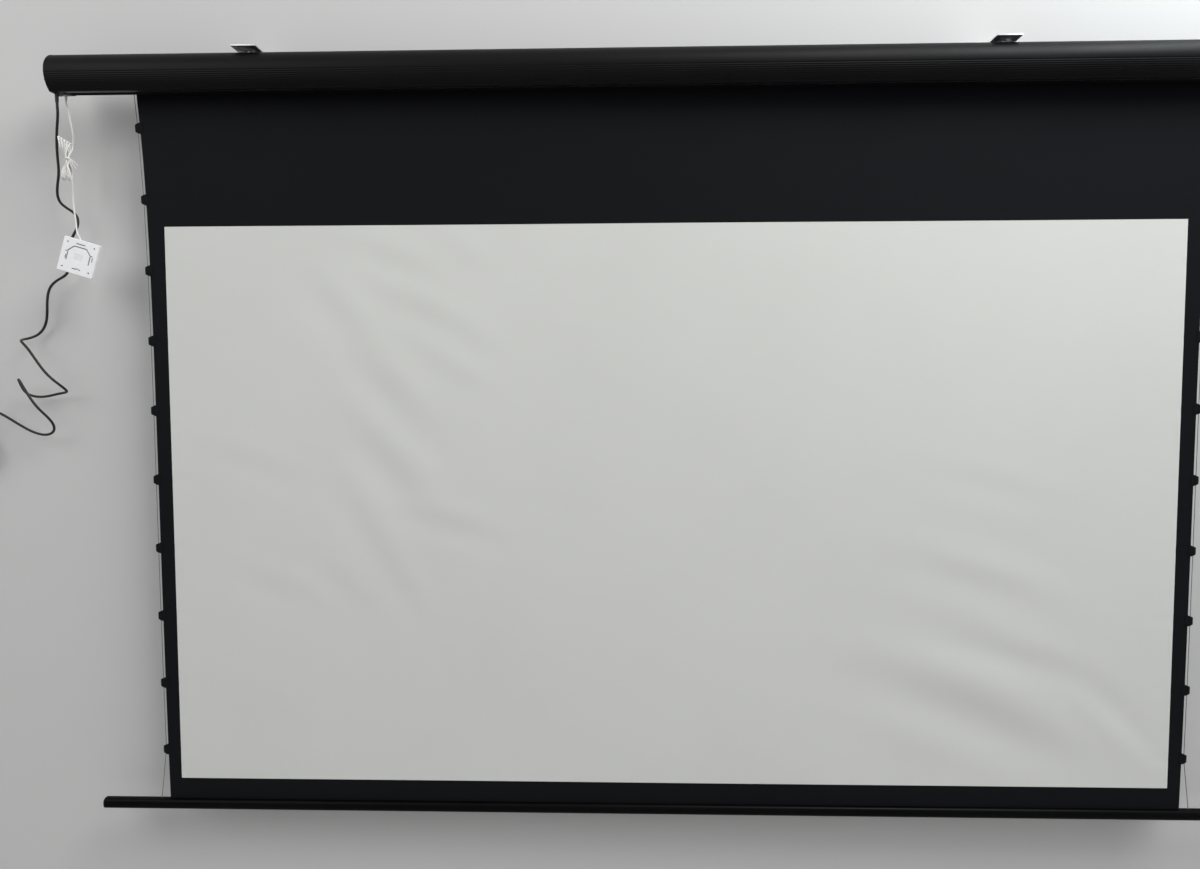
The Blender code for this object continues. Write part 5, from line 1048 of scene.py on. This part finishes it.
# Each end has a moulded cap with a rounded rim, its foot closing the casing's underside.
# Two pan-head screws hold it to the extrusion's ports.
SIDES = ((-1, "left"), (1, "right"))
CAP_INNER_X = CASING_HALF + GAP
FOOT_INNER_X = 1.3705
CAP_RIM = 0.0004
SCREW_HEAD_R = 0.0030
SCREW_HEAD_TALL = 0.0016
SCREW_CROSS_HALF = 0.00038
SCREW_CROSS_REACH = 0.0017
SCREW_SHANK_R = 0.0014
SCREW_SHANK = 0.0120
# Its lighter edge tone is a painted highlight.
BLACK_MOULDING = new_finish("black_moulding", ((0.0042, 0.0042, 0.0045), (0.0062, 0.0062, 0.0066)),
                            (0.42, 0.56), patch=25.0, grain=1700.0, depth=0.00003,
                            edge_highlight=(0.013, 0.013, 0.014), edge_radius=0.0007,
                            Specular_IOR_Level=0.15)
# Its lighter edge tone is a painted highlight.
ZINC = new_finish("zinc_plate", ((0.46, 0.46, 0.465), (0.58, 0.58, 0.575)), (0.34, 0.5),
                  patch=70.0, grain=900.0, depth=0.00001, edge_highlight=(0.68, 0.68, 0.68),
                  edge_radius=0.0005, Metallic=1.0)
BLACK_ZINC = new_finish("black_zinc", ((0.020, 0.020, 0.021), (0.034, 0.034, 0.035)),
                        (0.36, 0.5), patch=300.0, grain=2400.0, depth=0.000008, Metallic=1.0)


def cap_outline():
    """The closed end of the section, 0.4 mm proud of it, with a level floor to the rear."""
    low = BOTTOM_V - CAP_RIM
    rear = math.degrees(math.asin(low / (CASING_R + CAP_RIM)))
    corner = 180.0 + math.degrees(math.asin(-low / (FRONT_R + CAP_RIM)))
    return np.vstack([arc(0.0, 0.0, CASING_R + CAP_RIM, rear, 180.0, 90)[:-1],
                      arc(FRONT_U, 0.0, FRONT_R + CAP_RIM, 180.0, corner, 30)])


def foot_outline():
    """The foot's section: a floor behind the cover, then round to the rear lip."""
    inner = CASING_R - 0.0025
    top_v = BOTTOM_V + 0.0025
    lip = REAR_LIP_DEG - 0.6
    return np.vstack([
        [(LIP_END_U + GAP, BOTTOM_V)],
        arc(0.0, 0.0, CASING_R, math.degrees(math.asin(BOTTOM_V / CASING_R)), lip, 20),
        arc(0.0, 0.0, inner, lip, math.degrees(math.asin(top_v / inner)), 20),
        [(LEDGE_END_U + GAP, top_v), (LEDGE_END_U + GAP, BOTTOM_V + 0.0014),
         (LIP_END_U + GAP, BOTTOM_V + 0.0014)],
    ])


def screw_surface(seat, side):
    """A pan head with a crossed recess: a dome less a plus-shaped well, then the shank."""
    turn = np.linspace(0.0, 2.0 * np.pi, 48, endpoint=False)[None, :]
    out = np.linspace(0.0, SCREW_HEAD_R - 0.0001, 15)[:, None]
    a, b = np.abs(out * np.cos(turn)), np.abs(out * np.sin(turn))
    cross = np.minimum(np.maximum(a - SCREW_CROSS_HALF, b - SCREW_CROSS_REACH),
                       np.maximum(b - SCREW_CROSS_HALF, a - SCREW_CROSS_REACH))
    dome = SCREW_HEAD_TALL * np.sqrt(1.0 - (out / 0.0035) ** 2)
    dome = dome - 0.0009 * band(cross, 0.0, 0.00025)
    rim = 0.0 * turn
    radii = np.vstack([out + rim, *(radius + rim for radius in (
        SCREW_HEAD_R, SCREW_HEAD_R, SCREW_SHANK_R, SCREW_SHANK_R, 0.0))])
    heights = np.vstack([dome, *(height + rim for height in (
        0.0007, 0.0, 0.0, 0.0002 - SCREW_SHANK, -SCREW_SHANK))])
    return turned(radii, heights, seat, "x" if side > 0 else "-x", 48)


for side, word in SIDES:
    rim_levels = [(side * (CAP_INNER_X + out), drawn) for out, drawn in (
        (0.0, 0.0), (0.0016, 0.0), (0.0022, 0.00015), (0.0027, 0.0006), (0.0030, 0.0014))]
    foot_levels = [(side * FOOT_INNER_X, 0.0), (side * (CAP_INNER_X + 0.0015), 0.0)]
    put_mesh(f"cap_{word}", [along_x(cap_outline() + AXIS, rim_levels),
                             along_x(foot_outline() + AXIS, foot_levels)],
             BLACK_MOULDING, stands_for=(f"end_cap_{word}",), sharp_deg=40.0)
    for (cu, radius, angle), place in zip(PORTS, ("upper", "lower")):
        turn = math.radians(angle)
        reach = radius - PORT_INSET
        seat = (side * (CAP_INNER_X + 0.0033), AXIS_Y + cu + reach * math.cos(turn),
                AXIS_Z + reach * math.sin(turn))
        put_mesh(f"screw_{word}_{place}", [screw_surface(seat, side)], BLACK_ZINC,
                 stands_for=(f"cap_screw_{word}_{place}",))

# Inside the casing: the tubular motor with its limit crown and drive wheel at the left,
# the idler's pin, bearing and plug at the right, their steel carriers and the receiver.
ALUMINIUM = new_finish("drawn_aluminium", ((0.58, 0.59, 0.60), (0.66, 0.67, 0.68)),
                       (0.25, 0.4), patch=20.0, grain=900.0, depth=0.00001,
                       stretch=(0.03, 1.0, 1.0), Metallic=1.0)
dress(ZINC, "motor_bracket", "idler_bracket", "idler_pin", "idler_bearing", "motor_shaft")
dress(BLACK_MOULDING, "motor_head", "control_box", "limit_crown", "drive_wheel", "idler_plug")
dress(BLACK_LEAD, "motor_lead")
dress(ALUMINIUM, "motor_tube", "roller_tube", "hem_rod")

# Two wall brackets bent from 3 mm zinc-plated steel. A shouldered T-bolt from the casing's
# channel comes up through each one's level leg and is held by a hexagon nut.
for word in ("left", "right"):
    eased_copy(f"wall_bracket_{word}", f"bracket_{word}", ZINC, 0.0005)
    eased_copy(f"hanger_bolt_{word}", f"t_bolt_{word}", ZINC, 0.0003)
    eased_copy(f"hanger_nut_{word}", f"nut_{word}", ZINC, 0.0004)

# The cloth is black on both sides, 0.5 mm laminated PVC with a fine weave showing. It
# hangs from the roller through the slot to the bar, narrowing in a curve below the casing,
# and lies in soft waves that the side cords can't quite pull out.
FABRIC_Y = -0.080
FABRIC_THICK = 0.0005
FABRIC_TOP_Z = AXIS_Z
FABRIC_LOW_Z = -1.7666
FABRIC_HALF_LOW = 1.2030
FABRIC_SWELL = 0.005
FABRIC_FLARE = 0.022
FABRIC_HALF_TOP = FABRIC_HALF_LOW + FABRIC_SWELL + FABRIC_FLARE
DOCKED_Z = -0.095
WHITE_W = 2.347
WHITE_H = 1.320
WHITE_TOP_Z = -0.3950
TAB_FIRST_Z = -0.1684
TAB_PITCH = 0.1640
TAB_HEIGHTS = TAB_FIRST_Z - TAB_PITCH * np.arange(10)
RIPPLES = (
    (0.727, -1.516, 0.25, 0.135, 23.0, 0.205, 0.003744),
    (0.727, -1.213, 0.18, 0.085, 18.0, 0.150, 0.001656),
    (0.830, -1.394, 0.17, 0.065, 17.0, 0.125, 0.001152),
    (1.060, -1.570, 0.14, 0.060, 45.0, 0.110, -0.001584),
    (-0.770, -0.580, 0.10, 0.080, 50.0, 0.150, 0.001584),
    (-0.650, -0.765, 0.11, 0.090, 52.0, 0.160, 0.00216),
    (-0.540, -0.600, 0.13, 0.070, 30.0, 0.130, 0.001296),
    (-0.631, -0.470, 0.09, 0.065, 24.0, 0.120, 0.001224),
    (-0.470, -0.470, 0.08, 0.060, 34.0, 0.130, 0.00072),
    (-0.640, -0.950, 0.12, 0.090, 52.0, 0.160, 0.00216),
    (-0.500, -1.090, 0.11, 0.060, 16.0, 0.120, 0.001152),
    (-0.700, -1.100, 0.10, 0.070, 60.0, 0.140, 0.001296),
    (-0.610, -1.250, 0.10, 0.060, 62.0, 0.120, 0.00108),
    (-0.760, -1.240, 0.09, 0.055, 50.0, 0.120, 0.000864),
    (-0.980, -0.940, 0.12, 0.060, 20.0, 0.120, 0.000864),
    (-0.930, -1.240, 0.12, 0.060, 24.0, 0.130, 0.000864),
    (-0.470, -0.750, 0.09, 0.055, 35.0, 0.120, 0.000648),
    (0.760, -0.990, 0.13, 0.060, 14.0, 0.130, 0.000648),
)
RIPPLE_BEND = 0.25
ROLL_DEPTH = 0.0013
ROLL_ACROSS = 0.19
ROLL_DOWN = 0.24
ROLL_START = 0.8
CREASE_DEPTH = 0.0004
CREASE_TALL = 0.028
CREASE_IN = 0.045
CREASE_LONG = 0.035
CREASE_STEP = 0.0065
STILL_SIDE = 0.10
STILL_TOP = 0.30
STILL_LOW = 0.14


def from_tab(z):
    """Height above the nearest tab's middle."""
    return (z - TAB_FIRST_Z + TAB_PITCH / 2) % TAB_PITCH - TAB_PITCH / 2


def fabric_half(z):
    """Half of the cloth's width: it swells above the bar by 1 - (1 - s)^5 of its share of
    the height, stays nearly even, and flares below the casing by s^7."""
    share = np.clip((z - FABRIC_LOW_Z) / (DOCKED_Z - FABRIC_LOW_Z), 0.0, 1.0)
    swell = FABRIC_SWELL * (1.0 - (1.0 - share) ** 5)
    return FABRIC_HALF_LOW + swell + FABRIC_FLARE * share**7


def fabric_wave(x, z):
    """Depth of the hanging cloth: a broad roll, and ripples that each fall to the right, a
    sine across their bent line inside a soft oval. All are gone at the cloth's four sides,
    and short creases run in from the tabs. A ripple has its middle, half its length and
    width, its fall, the distance from crest to crest, and its height."""
    wave = ROLL_DEPTH * np.sin(x / ROLL_ACROSS + ROLL_START) * np.sin(z / ROLL_DOWN)
    for middle_x, middle_z, half_long, half_wide, fall_deg, crests, height in RIPPLES:
        c, s = math.cos(math.radians(fall_deg)), math.sin(math.radians(fall_deg))
        along = (x - middle_x) * c - (z - middle_z) * s
        across = (x - middle_x) * s + (z - middle_z) * c + RIPPLE_BEND * along**2
        oval = np.exp(-((along / half_long) ** 2) - (across / half_wide) ** 2)
        wave = wave - height * oval * np.sin(2.0 * np.pi * across / crests)
    from_edge = fabric_half(z) - np.abs(x)
    wave = wave * soft_step(from_edge / STILL_SIDE) * soft_step((FABRIC_TOP_Z - z) / STILL_TOP)
    wave = wave * soft_step((z - FABRIC_LOW_Z) / STILL_LOW)
    off = from_tab(z)
    crease = np.exp(-((off / CREASE_TALL) ** 2))
    crease = crease * np.exp(-((from_edge - CREASE_IN) / CREASE_LONG) ** 2)
    return wave + CREASE_DEPTH * crease * np.cos(off / CREASE_STEP)


def thick_sheet(x, y, z, thickness):
    """A sheet over a grid of places, its two faces half its thickness either side in Y,
    with its border closed. Gives the surface and, for each point, its place on the flat."""
    rows, columns = x.shape
    faces = [np.stack([x, y + out, z], axis=-1) for out in (-thickness / 2, thickness / 2)]
    points = np.stack(faces).reshape(-1, 3)
    front = grid_faces(rows, columns)
    back = front[:, ::-1] + rows * columns
    edge = grid_border(rows, columns)
    after = np.roll(edge, -1)
    rim = np.column_stack([edge, edge + rows * columns, after + rows * columns, after])
    uv = np.column_stack([np.tile(x.ravel(), 2), np.tile(z.ravel(), 2)])
    return (points, [front, back, rim]), uv


def make_weave():
    """A plain weave on the cloth's own flat map, in metres: warp and weft are half waves
    across each thread, and a checker says which of them lies on top."""
    tree, given, put = new_group(
        "plain_weave",
        [("Thread", "NodeSocketFloat", 0.0006), ("Depth", "NodeSocketFloat", 0.00004)],
        [("Threads", "NodeSocketFloat"), ("Slubs", "NodeSocketFloat"),
         ("Normal", "NodeSocketVector")],
    )
    flat = add_node(tree, "ShaderNodeUVMap", uv_map="cloth").outputs["UV"]
    spacing = worked_out(tree, "DIVIDE", 1.0, given.outputs["Thread"])
    counted = add_node(tree, "ShaderNodeVectorMath", {0: flat, 3: spacing}, operation="SCALE")
    each = add_node(tree, "ShaderNodeSeparateXYZ", {0: counted.outputs[0]})
    humps = []
    for way in ("X", "Y"):
        phase = worked_out(tree, "MULTIPLY", each.outputs[way], math.pi)
        humps.append(worked_out(tree, "ABSOLUTE", worked_out(tree, "SINE", phase)))
    over = add_node(tree, "ShaderNodeTexChecker", {"Vector": counted.outputs[0], "Scale": 1.0})
    height = add_node(tree, "ShaderNodeMix", {0: over.outputs["Fac"], 2: humps[0], 3: humps[1]},
                      data_type="FLOAT").outputs[0]
    slub = add_node(tree, "ShaderNodeTexNoise", {"Vector": flat, "Scale": 3.0, "Detail": 5.0})
    return put_out(tree, put, Threads=height, Slubs=slub.outputs["Fac"],
                   Normal=relief_from(tree, height, given.outputs["Depth"]))


WEAVE = make_weave()


def cloth_finish(name, low_tone, high_tone, roughness, thread, depth, **constants):
    """A coated cloth: threads a little lighter along their crowns, which is painted light on the
    weave's relief, and tone and sheen that drift.
    """
    material, tree, shader = new_material(name, **constants)
    weave = add_node(tree, "ShaderNodeGroup", {"Thread": thread, "Depth": depth},
                     node_tree=WEAVE).outputs
    # The lighter thread crowns are painted light that follows the weave's height.
    share = worked_out(tree, "MULTIPLY_ADD", weave["Threads"], 0.5, weave["Slubs"],
                       use_clamp=True)
    rough = add_node(tree, "ShaderNodeMapRange",
                     {"Value": weave["Slubs"], "From Min": 0.3, "From Max": 0.7,
                      "To Min": roughness[0], "To Max": roughness[1]})
    tree.links.new(mixed_tones(tree, share, low_tone, high_tone), shader.inputs["Base Color"])
    tree.links.new(rough.outputs["Result"], shader.inputs["Roughness"])
    tree.links.new(weave["Normal"], shader.inputs["Normal"])
    return material


BLACK_CLOTH = cloth_finish("black_cloth", (0.0036, 0.0039, 0.0052), (0.0062, 0.0066, 0.0084),
                           (0.6, 0.72), 0.0007, 0.00003, Specular_IOR_Level=0.07)
# The viewing area's white is set down to a light grey as painted shade.
WHITE_FACE = cloth_finish("white_face", (0.60, 0.605, 0.575), (0.65, 0.655, 0.625),
                          (0.8, 0.9), 0.0006, 0.00002, Specular_IOR_Level=0.3)


def put_cloth(name, surfaces, uv, material, stands_for=(), sharp_deg=50.0):
    """A piece of the hanging cloth, with a mesh of its own."""
    piece = put_mesh(name, surfaces, material, stands_for=stands_for,
                     sharp_deg=sharp_deg, weld=uv is None, uv=uv)
    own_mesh(piece)
    return piece


side_share = np.linspace(-1.0, 1.0, 221)
eased_share = side_share + 0.10 * np.sin(np.pi * side_share)
z_rows = np.linspace(FABRIC_LOW_Z, FABRIC_TOP_Z, 181)
cloth_z = np.repeat(z_rows[:, None], len(eased_share), axis=1)
cloth_x = fabric_half(cloth_z) * eased_share[None, :]
cloth_surface, cloth_uv = thick_sheet(cloth_x, FABRIC_Y + fabric_wave(cloth_x, cloth_z), cloth_z,
                                      FABRIC_THICK)
cloth = put_cloth("cloth", [cloth_surface], cloth_uv, BLACK_CLOTH,
                  ("screen_fabric",))

# The viewing area is a matt white coating, 2.347 by 1.320 m, bonded to the black cloth
# with a clean straight edge and following its waves.
FACE_THICK = 0.0003
FACE_Y = FABRIC_Y - FABRIC_THICK / 2 - GAP - FACE_THICK / 2
face_x, face_z = np.meshgrid(np.linspace(-WHITE_W / 2, WHITE_W / 2, 191),
                             np.linspace(WHITE_TOP_Z - WHITE_H, WHITE_TOP_Z, 131))
face_surface, face_uv = thick_sheet(face_x, FACE_Y + fabric_wave(face_x, face_z), face_z,
                                    FACE_THICK)
viewing = put_cloth("viewing_area", [face_surface], face_uv, WHITE_FACE,
                    ("viewing_surface",))

# Along each edge a black tape is welded behind the cloth, with ten tabs that hold the side
# cord away from the edge. Each tab is folded over to the front, so that the cord runs
# through it as through a small pocket, and is pressed together by three small rivets.
TAB_OUT = 0.012
TAB_THICK = 0.0012
TAPE_IN = 0.008
TAPE_TOP_Z = -0.1000
TAPE_LOW_Z = -1.7520
TAPE_Y = FABRIC_Y + FABRIC_THICK / 2 + GAP + TAB_THICK / 2
FLAP_IN = 0.0060
FLAP_THICK = 0.0005
FLAP_LINE = np.array([(-FLAP_IN, -0.0020), (0.0, -0.0021), (0.0030, -0.0028), (0.0050, -0.0031),
                      (0.0070, -0.0027), (0.0095, -0.0017), (TAB_OUT, -0.0012)])
RIVET_RADII = [0.0, 0.0008, 0.0012, 0.0013, 0.0013, 0.0012, 0.0008, 0.0]
RIVET_HEIGHTS = [-0.0018, -0.00175, -0.0016, -0.0014, 0.0014, 0.0016, 0.00175, 0.0018]
RIVET_PLACES = ((0.0095, 0.0042), (0.0095, -0.0042), (-0.0035, 0.0))


def tab_reach(z):
    """How far the tape reaches past the cloth's edge: a rounded lobe at each tab, 28 mm high
    at its root and 15 mm at its end."""
    return TAB_OUT * soft_step((0.0142 - np.abs(from_tab(z))) / 0.0068)


def flap_depth(out):
    """The folded front's place in Y by how far it is past the cloth's edge: flat on the
    cloth, out over the side cord, and back to the tape at the tip."""
    return TAPE_Y + np.interp(out, FLAP_LINE[:, 0], FLAP_LINE[:, 1])


tab_offsets = np.linspace(-0.0145, 0.0145, 30)
tape_z = np.unique(np.concatenate([np.linspace(TAPE_LOW_Z, TAPE_TOP_Z, 60),
                                   (TAB_HEIGHTS[:, None] + tab_offsets).ravel()]))
tape_z = np.repeat(tape_z[:, None], 9, axis=1)
flap_offsets = np.linspace(-0.0128, 0.0128, 25)[:, None]
flap_share = np.linspace(0.0, 1.0, 17)[None, :]
tape_pieces = []
for side, word in SIDES:
    reach = (TAPE_IN + tab_reach(tape_z)) * np.linspace(0.0, 1.0, 9)
    x = side * (fabric_half(tape_z) - TAPE_IN + reach)
    surface, uv = thick_sheet(x, TAPE_Y + 0.0 * x, tape_z, TAB_THICK)
    tape = put_cloth(f"tape_{word}", [surface], uv, BLACK_CLOTH,
                     (f"edge_tabs_{word}",), 40.0)
    flaps = []
    for height in TAB_HEIGHTS:
        z = height + flap_offsets + 0.0 * flap_share
        out = -FLAP_IN + (FLAP_IN - GAP + tab_reach(z)) * flap_share
        flaps.append(thick_sheet(side * (fabric_half(z) + out), flap_depth(out), z, FLAP_THICK))
    flap = put_cloth(f"tab_fronts_{word}", [surface for surface, uv in flaps],
                     np.vstack([uv for surface, uv in flaps]), BLACK_CLOTH)
    rivets = [turned(RIVET_RADII, RIVET_HEIGHTS,
                     (side * (float(fabric_half(height)) + out), TAPE_Y - 0.0010, height + up),
                     "y", 12)
              for out, up in RIVET_PLACES for height in TAB_HEIGHTS]
    riveted = put_cloth(f"rivets_{word}", rivets, None, BLACK_MOULDING,
                        sharp_deg=35.0)
    tape_pieces += [tape, flap, riveted]

# A thin grey braided cord runs down each side from the slot through the tabs to the bar and
# pulls the cloth's edges outwards.
TENSION_R = 0.0008
TENSION_Y = TAPE_Y - TAB_THICK / 2 - TENSION_R - GAP
BAR_Z = -1.7778
BAR_R = 0.0125
TENSION_BAR_X = 1.2236
TENSION_OUT = 0.005


def braid_finish():
    """Grey polyester braid: two crossed sets of slanting waves round the cord."""
    material = new_finish("side_cord_braid", ((0.13, 0.12, 0.115), (0.19, 0.18, 0.17)),
                          (0.6, 0.75), patch=200.0, grain=3000.0, depth=0.00002)
    tree = material.node_tree
    place = add_node(tree, "ShaderNodeTexCoord").outputs["Object"]
    strands = []
    for slant in (1.0, -1.0):
        turned_place = add_node(tree, "ShaderNodeMapping",
                                {"Vector": place, "Rotation": (0.0, slant * 0.6, 0.0)})
        strands.append(add_node(tree, "ShaderNodeTexWave",
                                {"Vector": turned_place.outputs[0], "Scale": 420.0},
                                bands_direction="Z").outputs["Fac"])
    tree.links.new(relief_from(tree, worked_out(tree, "MAXIMUM", *strands), 0.00012),
                   tree.nodes["Principled BSDF"].inputs["Normal"])
    return material


BRAID = braid_finish()
side_heights = np.array([FABRIC_TOP_Z, DOCKED_Z, *TAB_HEIGHTS, BAR_Z + BAR_R + 0.004,
                         BAR_Z + 0.003])
side_places = np.array([*(fabric_half(np.minimum(side_heights[:-2], DOCKED_Z)) + TENSION_OUT),
                        TENSION_BAR_X, TENSION_BAR_X])
side_z = np.unique(np.concatenate([np.linspace(side_heights[-1], FABRIC_TOP_Z, 110),
                                   side_heights]))
around = np.linspace(0.0, 2.0 * np.pi, 10, endpoint=False)
circle = TENSION_R * np.column_stack([np.cos(around), np.sin(around), 0.0 * around])
for side, word in SIDES:
    side_x = side * np.interp(side_z, side_heights[::-1], side_places[::-1])
    side_path = np.column_stack([side_x, np.full(len(side_z), TENSION_Y), side_z])
    side_cord = put_cloth(f"side_cord_{word}", [lofted(side_path[:, None, :] + circle[None])],
                          None, BRAID, (f"tension_cord_{word}",), 35.0)

# Two turns of the same cloth stay on the roller when the screen is fully down. They grip
# it, so that the bar's weight doesn't pull where the cloth is fastened.
WRAP_TURNS = 1.95
WRAP_R = 0.02306
WRAP_MIDDLE_R = 0.0232
WRAP_STEP = 0.00051
WRAP_THICK = 0.00044


def wrap_line(turn, inward):
    """A spiral about the roller that grows by a step each turn: (cos t, sin t) (r + step t)."""
    radius = WRAP_R - inward + WRAP_STEP * turn / (2.0 * np.pi)
    return AXIS + np.column_stack([radius * np.cos(turn), radius * np.sin(turn)])


wrap_turn = np.linspace(0.0, 2.0 * np.pi * WRAP_TURNS, 140)
wrap_x = np.linspace(-FABRIC_HALF_TOP, FABRIC_HALF_TOP, 25)
wrap_outline = np.vstack([wrap_line(wrap_turn, 0.0), wrap_line(wrap_turn, WRAP_THICK)[::-1]])
wrap_rings = np.stack([np.column_stack([np.full(len(wrap_outline), x), wrap_outline])
                       for x in wrap_x])
wrap_along = np.concatenate([wrap_turn, wrap_turn[::-1]]) * WRAP_MIDDLE_R
wrap_uv = np.column_stack([np.repeat(wrap_x, len(wrap_outline)), np.tile(wrap_along, len(wrap_x))])
wound = put_mesh("wound_cloth", [lofted(wrap_rings)], BLACK_CLOTH, "roller",
                 ("wound_fabric",), 60.0, weld=False, uv=wrap_uv)

# The bottom bar is a rounded-square aluminium tube, black coated and slotted on top. The
# cloth's hem, with a rod in it, hangs inside, and moulded caps close the ends.
BAR_HALF = 1.3600
BAR_WALL = 0.0016
BAR_SLOT_HALF = 0.0016
BAR_POWER = 2.7


def bar_section(radius, start_deg, end_deg, count):
    """A rounded square: |y|^n + |z|^n = radius^n."""
    turn = np.radians(np.linspace(start_deg, end_deg, count))
    c, s = np.cos(turn), np.sin(turn)
    reach = radius * (np.abs(c) ** BAR_POWER + np.abs(s) ** BAR_POWER) ** (-1.0 / BAR_POWER)
    return np.column_stack([reach * c, reach * s])


bar_place = np.array((FABRIC_Y, BAR_Z))
outer_deg = math.degrees(math.atan2(BAR_SLOT_HALF, BAR_R))
inner_deg = math.degrees(math.atan2(BAR_SLOT_HALF, BAR_R - BAR_WALL))
bar_outline = np.vstack([bar_section(BAR_R, 90.0 + outer_deg, 450.0 - outer_deg, 121),
                         bar_section(BAR_R - BAR_WALL, 450.0 - inner_deg, 90.0 + inner_deg, 81)])
# The bar's coat is a darker copy of the casing's powder coat, as painted shade, and its lighter
# edge tone is a painted highlight.
BAR_COAT = new_finish("bar_coat", ((0.0010, 0.0010, 0.0012), (0.0018, 0.0018, 0.0020)),
                      (0.30, 0.40), patch=5.0, grain=1100.0, depth=0.00001,
                      stretch=(0.55, 1.0, 1.0), edge_highlight=(0.006, 0.006, 0.0065),
                      edge_radius=0.0005, Specular_IOR_Level=0.06)
put_mesh("bar", [along_x(bar_outline + bar_place, [(-BAR_HALF, 0.0), (BAR_HALF, 0.0)])],
         BAR_COAT, "bar", ("bottom_bar",), 30.0)
for side, word in SIDES:
    levels = [(side * (BAR_HALF + out), drawn) for out, drawn in (
        (GAP, 0.0), (0.0022, 0.0), (0.0031, 0.0004), (0.0037, 0.0011), (0.0040, 0.0020))]
    spigot = [(side * (BAR_HALF - 0.012), 0.0), (side * (BAR_HALF + 0.002), 0.0)]
    put_mesh(f"bar_end_{word}", [
        along_x(bar_section(BAR_R, 0.0, 360.0, 81)[:-1] + bar_place, levels),
        along_x(bar_section(BAR_R - BAR_WALL - GAP, 0.0, 360.0, 49)[:-1] + bar_place, spigot)],
        BLACK_MOULDING, "bar", (f"bar_cap_{word}",))
    dress(BLACK_MOULDING, f"cord_anchor_{word}")

# The room: a plain pale wall behind the screen, which can't be seen from behind and lets
# the rear lamp through, a pale floor, one large soft lamp high on the right, a smaller one
# over the casing's right end, and weak ones from the left and from behind.
WALL_TONE = (0.60, 0.60, 0.59)
WALL_Y = 0.0012
WALL_TOP_Z = 3.5
FLOOR_TONE = (0.48, 0.475, 0.47)
FLOOR_Z = -2.35
ROOM_HALF = 9.0
LIGHT_BELOW = (0.07, 0.07, 0.07)
LIGHT_ABOVE = (0.66, 0.67, 0.69)
BACKDROP_TONE = (0.68, 0.68, 0.68)


def stage_plane(name, corners, tone):
    """A flat pale surface seen from its front only. It stops no light from behind."""
    mesh = bpy.data.meshes.new(name)
    mesh.from_pydata(corners, [], [(0, 1, 2, 3)])
    plane = bpy.data.objects.new(name, mesh)
    bpy.context.scene.collection.objects.link(plane)
    material, tree, shader = new_material(name, Base_Color=(*tone, 1.0), Roughness=0.9,
                                          Specular_IOR_Level=0.1)
    clear = add_node(tree, "ShaderNodeBsdfTransparent")
    behind = add_node(tree, "ShaderNodeNewGeometry").outputs["Backfacing"]
    shadow = add_node(tree, "ShaderNodeLightPath").outputs["Is Shadow Ray"]
    mix = add_node(tree, "ShaderNodeMixShader", {0: worked_out(tree, "MAXIMUM", behind, shadow),
                                                 1: shader.outputs[0], 2: clear.outputs[0]})
    tree.links.new(mix.outputs[0], tree.nodes["Material Output"].inputs["Surface"])
    mesh.materials.append(material)


stage_plane("wall", [(-ROOM_HALF, WALL_Y, FLOOR_Z), (ROOM_HALF, WALL_Y, FLOOR_Z),
                     (ROOM_HALF, WALL_Y, WALL_TOP_Z), (-ROOM_HALF, WALL_Y, WALL_TOP_Z)],
            WALL_TONE)
stage_plane("floor", [(-ROOM_HALF, -ROOM_HALF, FLOOR_Z), (ROOM_HALF, -ROOM_HALF, FLOOR_Z),
                      (ROOM_HALF, ROOM_HALF, FLOOR_Z), (-ROOM_HALF, ROOM_HALF, FLOOR_Z)],
            FLOOR_TONE)


def soft_lamp(name, place, target, width, height, power, tint=(1.0, 1.0, 1.0)):
    """A rectangular soft lamp, aimed, which the camera doesn't see."""
    data = bpy.data.lights.new(name, "AREA")
    data.shape = "RECTANGLE"
    data.size = width
    data.size_y = height
    data.energy = power
    data.color = tint
    lamp = bpy.data.objects.new(name, data)
    lamp.location = place
    aim = Vector(target) - Vector(place)
    lamp.rotation_euler = aim.to_track_quat("-Z", "Y").to_euler()
    lamp.visible_camera = False
    bpy.context.scene.collection.objects.link(lamp)


soft_lamp("key", (1.6, -1.8, 2.1), (0.0, -0.08, -0.8), 2.4, 1.8, 112.0)
soft_lamp("over_casing", (1.55, -0.42, 0.75), (1.25, -0.15, -0.05), 1.0, 0.4, 9.0,
          (0.84, 0.93, 1.0))
soft_lamp("left_fill", (-2.6, -2.4, 1.0), (-0.4, -0.1, -0.7), 2.0, 2.0, 30.0)
soft_lamp("rear", (-1.0, 2.6, 0.8), (0.0, -0.1, -0.8), 2.4, 1.8, 60.0)


def light_room():
    """Soft light, strong from above and weak from below, and a pale backdrop that only the
    camera, glossy surfaces and clear ones see."""
    world = bpy.data.worlds.new("studio")
    bpy.context.scene.world = world
    world.use_nodes = True
    tree = world.node_tree
    back = tree.nodes["Background"]
    way = add_node(tree, "ShaderNodeTexCoord").outputs["Generated"]
    up = add_node(tree, "ShaderNodeSeparateXYZ", {0: way}).outputs["Z"]
    share = add_node(tree, "ShaderNodeMapRange", {"Value": up, "From Min": -0.4, "From Max": 1.0},
                     interpolation_type="SMOOTHSTEP")
    tone = mixed_tones(tree, share.outputs[0], LIGHT_BELOW, LIGHT_ABOVE)
    path = add_node(tree, "ShaderNodeLightPath").outputs
    mirrored = worked_out(tree, "MAXIMUM", path["Is Glossy Ray"], path["Is Transmission Ray"])
    seen = worked_out(tree, "MAXIMUM", path["Is Camera Ray"], mirrored)
    tree.links.new(mixed_tones(tree, seen, tone, BACKDROP_TONE), back.inputs["Color"])
    back.inputs["Strength"].default_value = 1.0


light_room()
bpy.context.scene.view_settings.view_transform = "Standard"
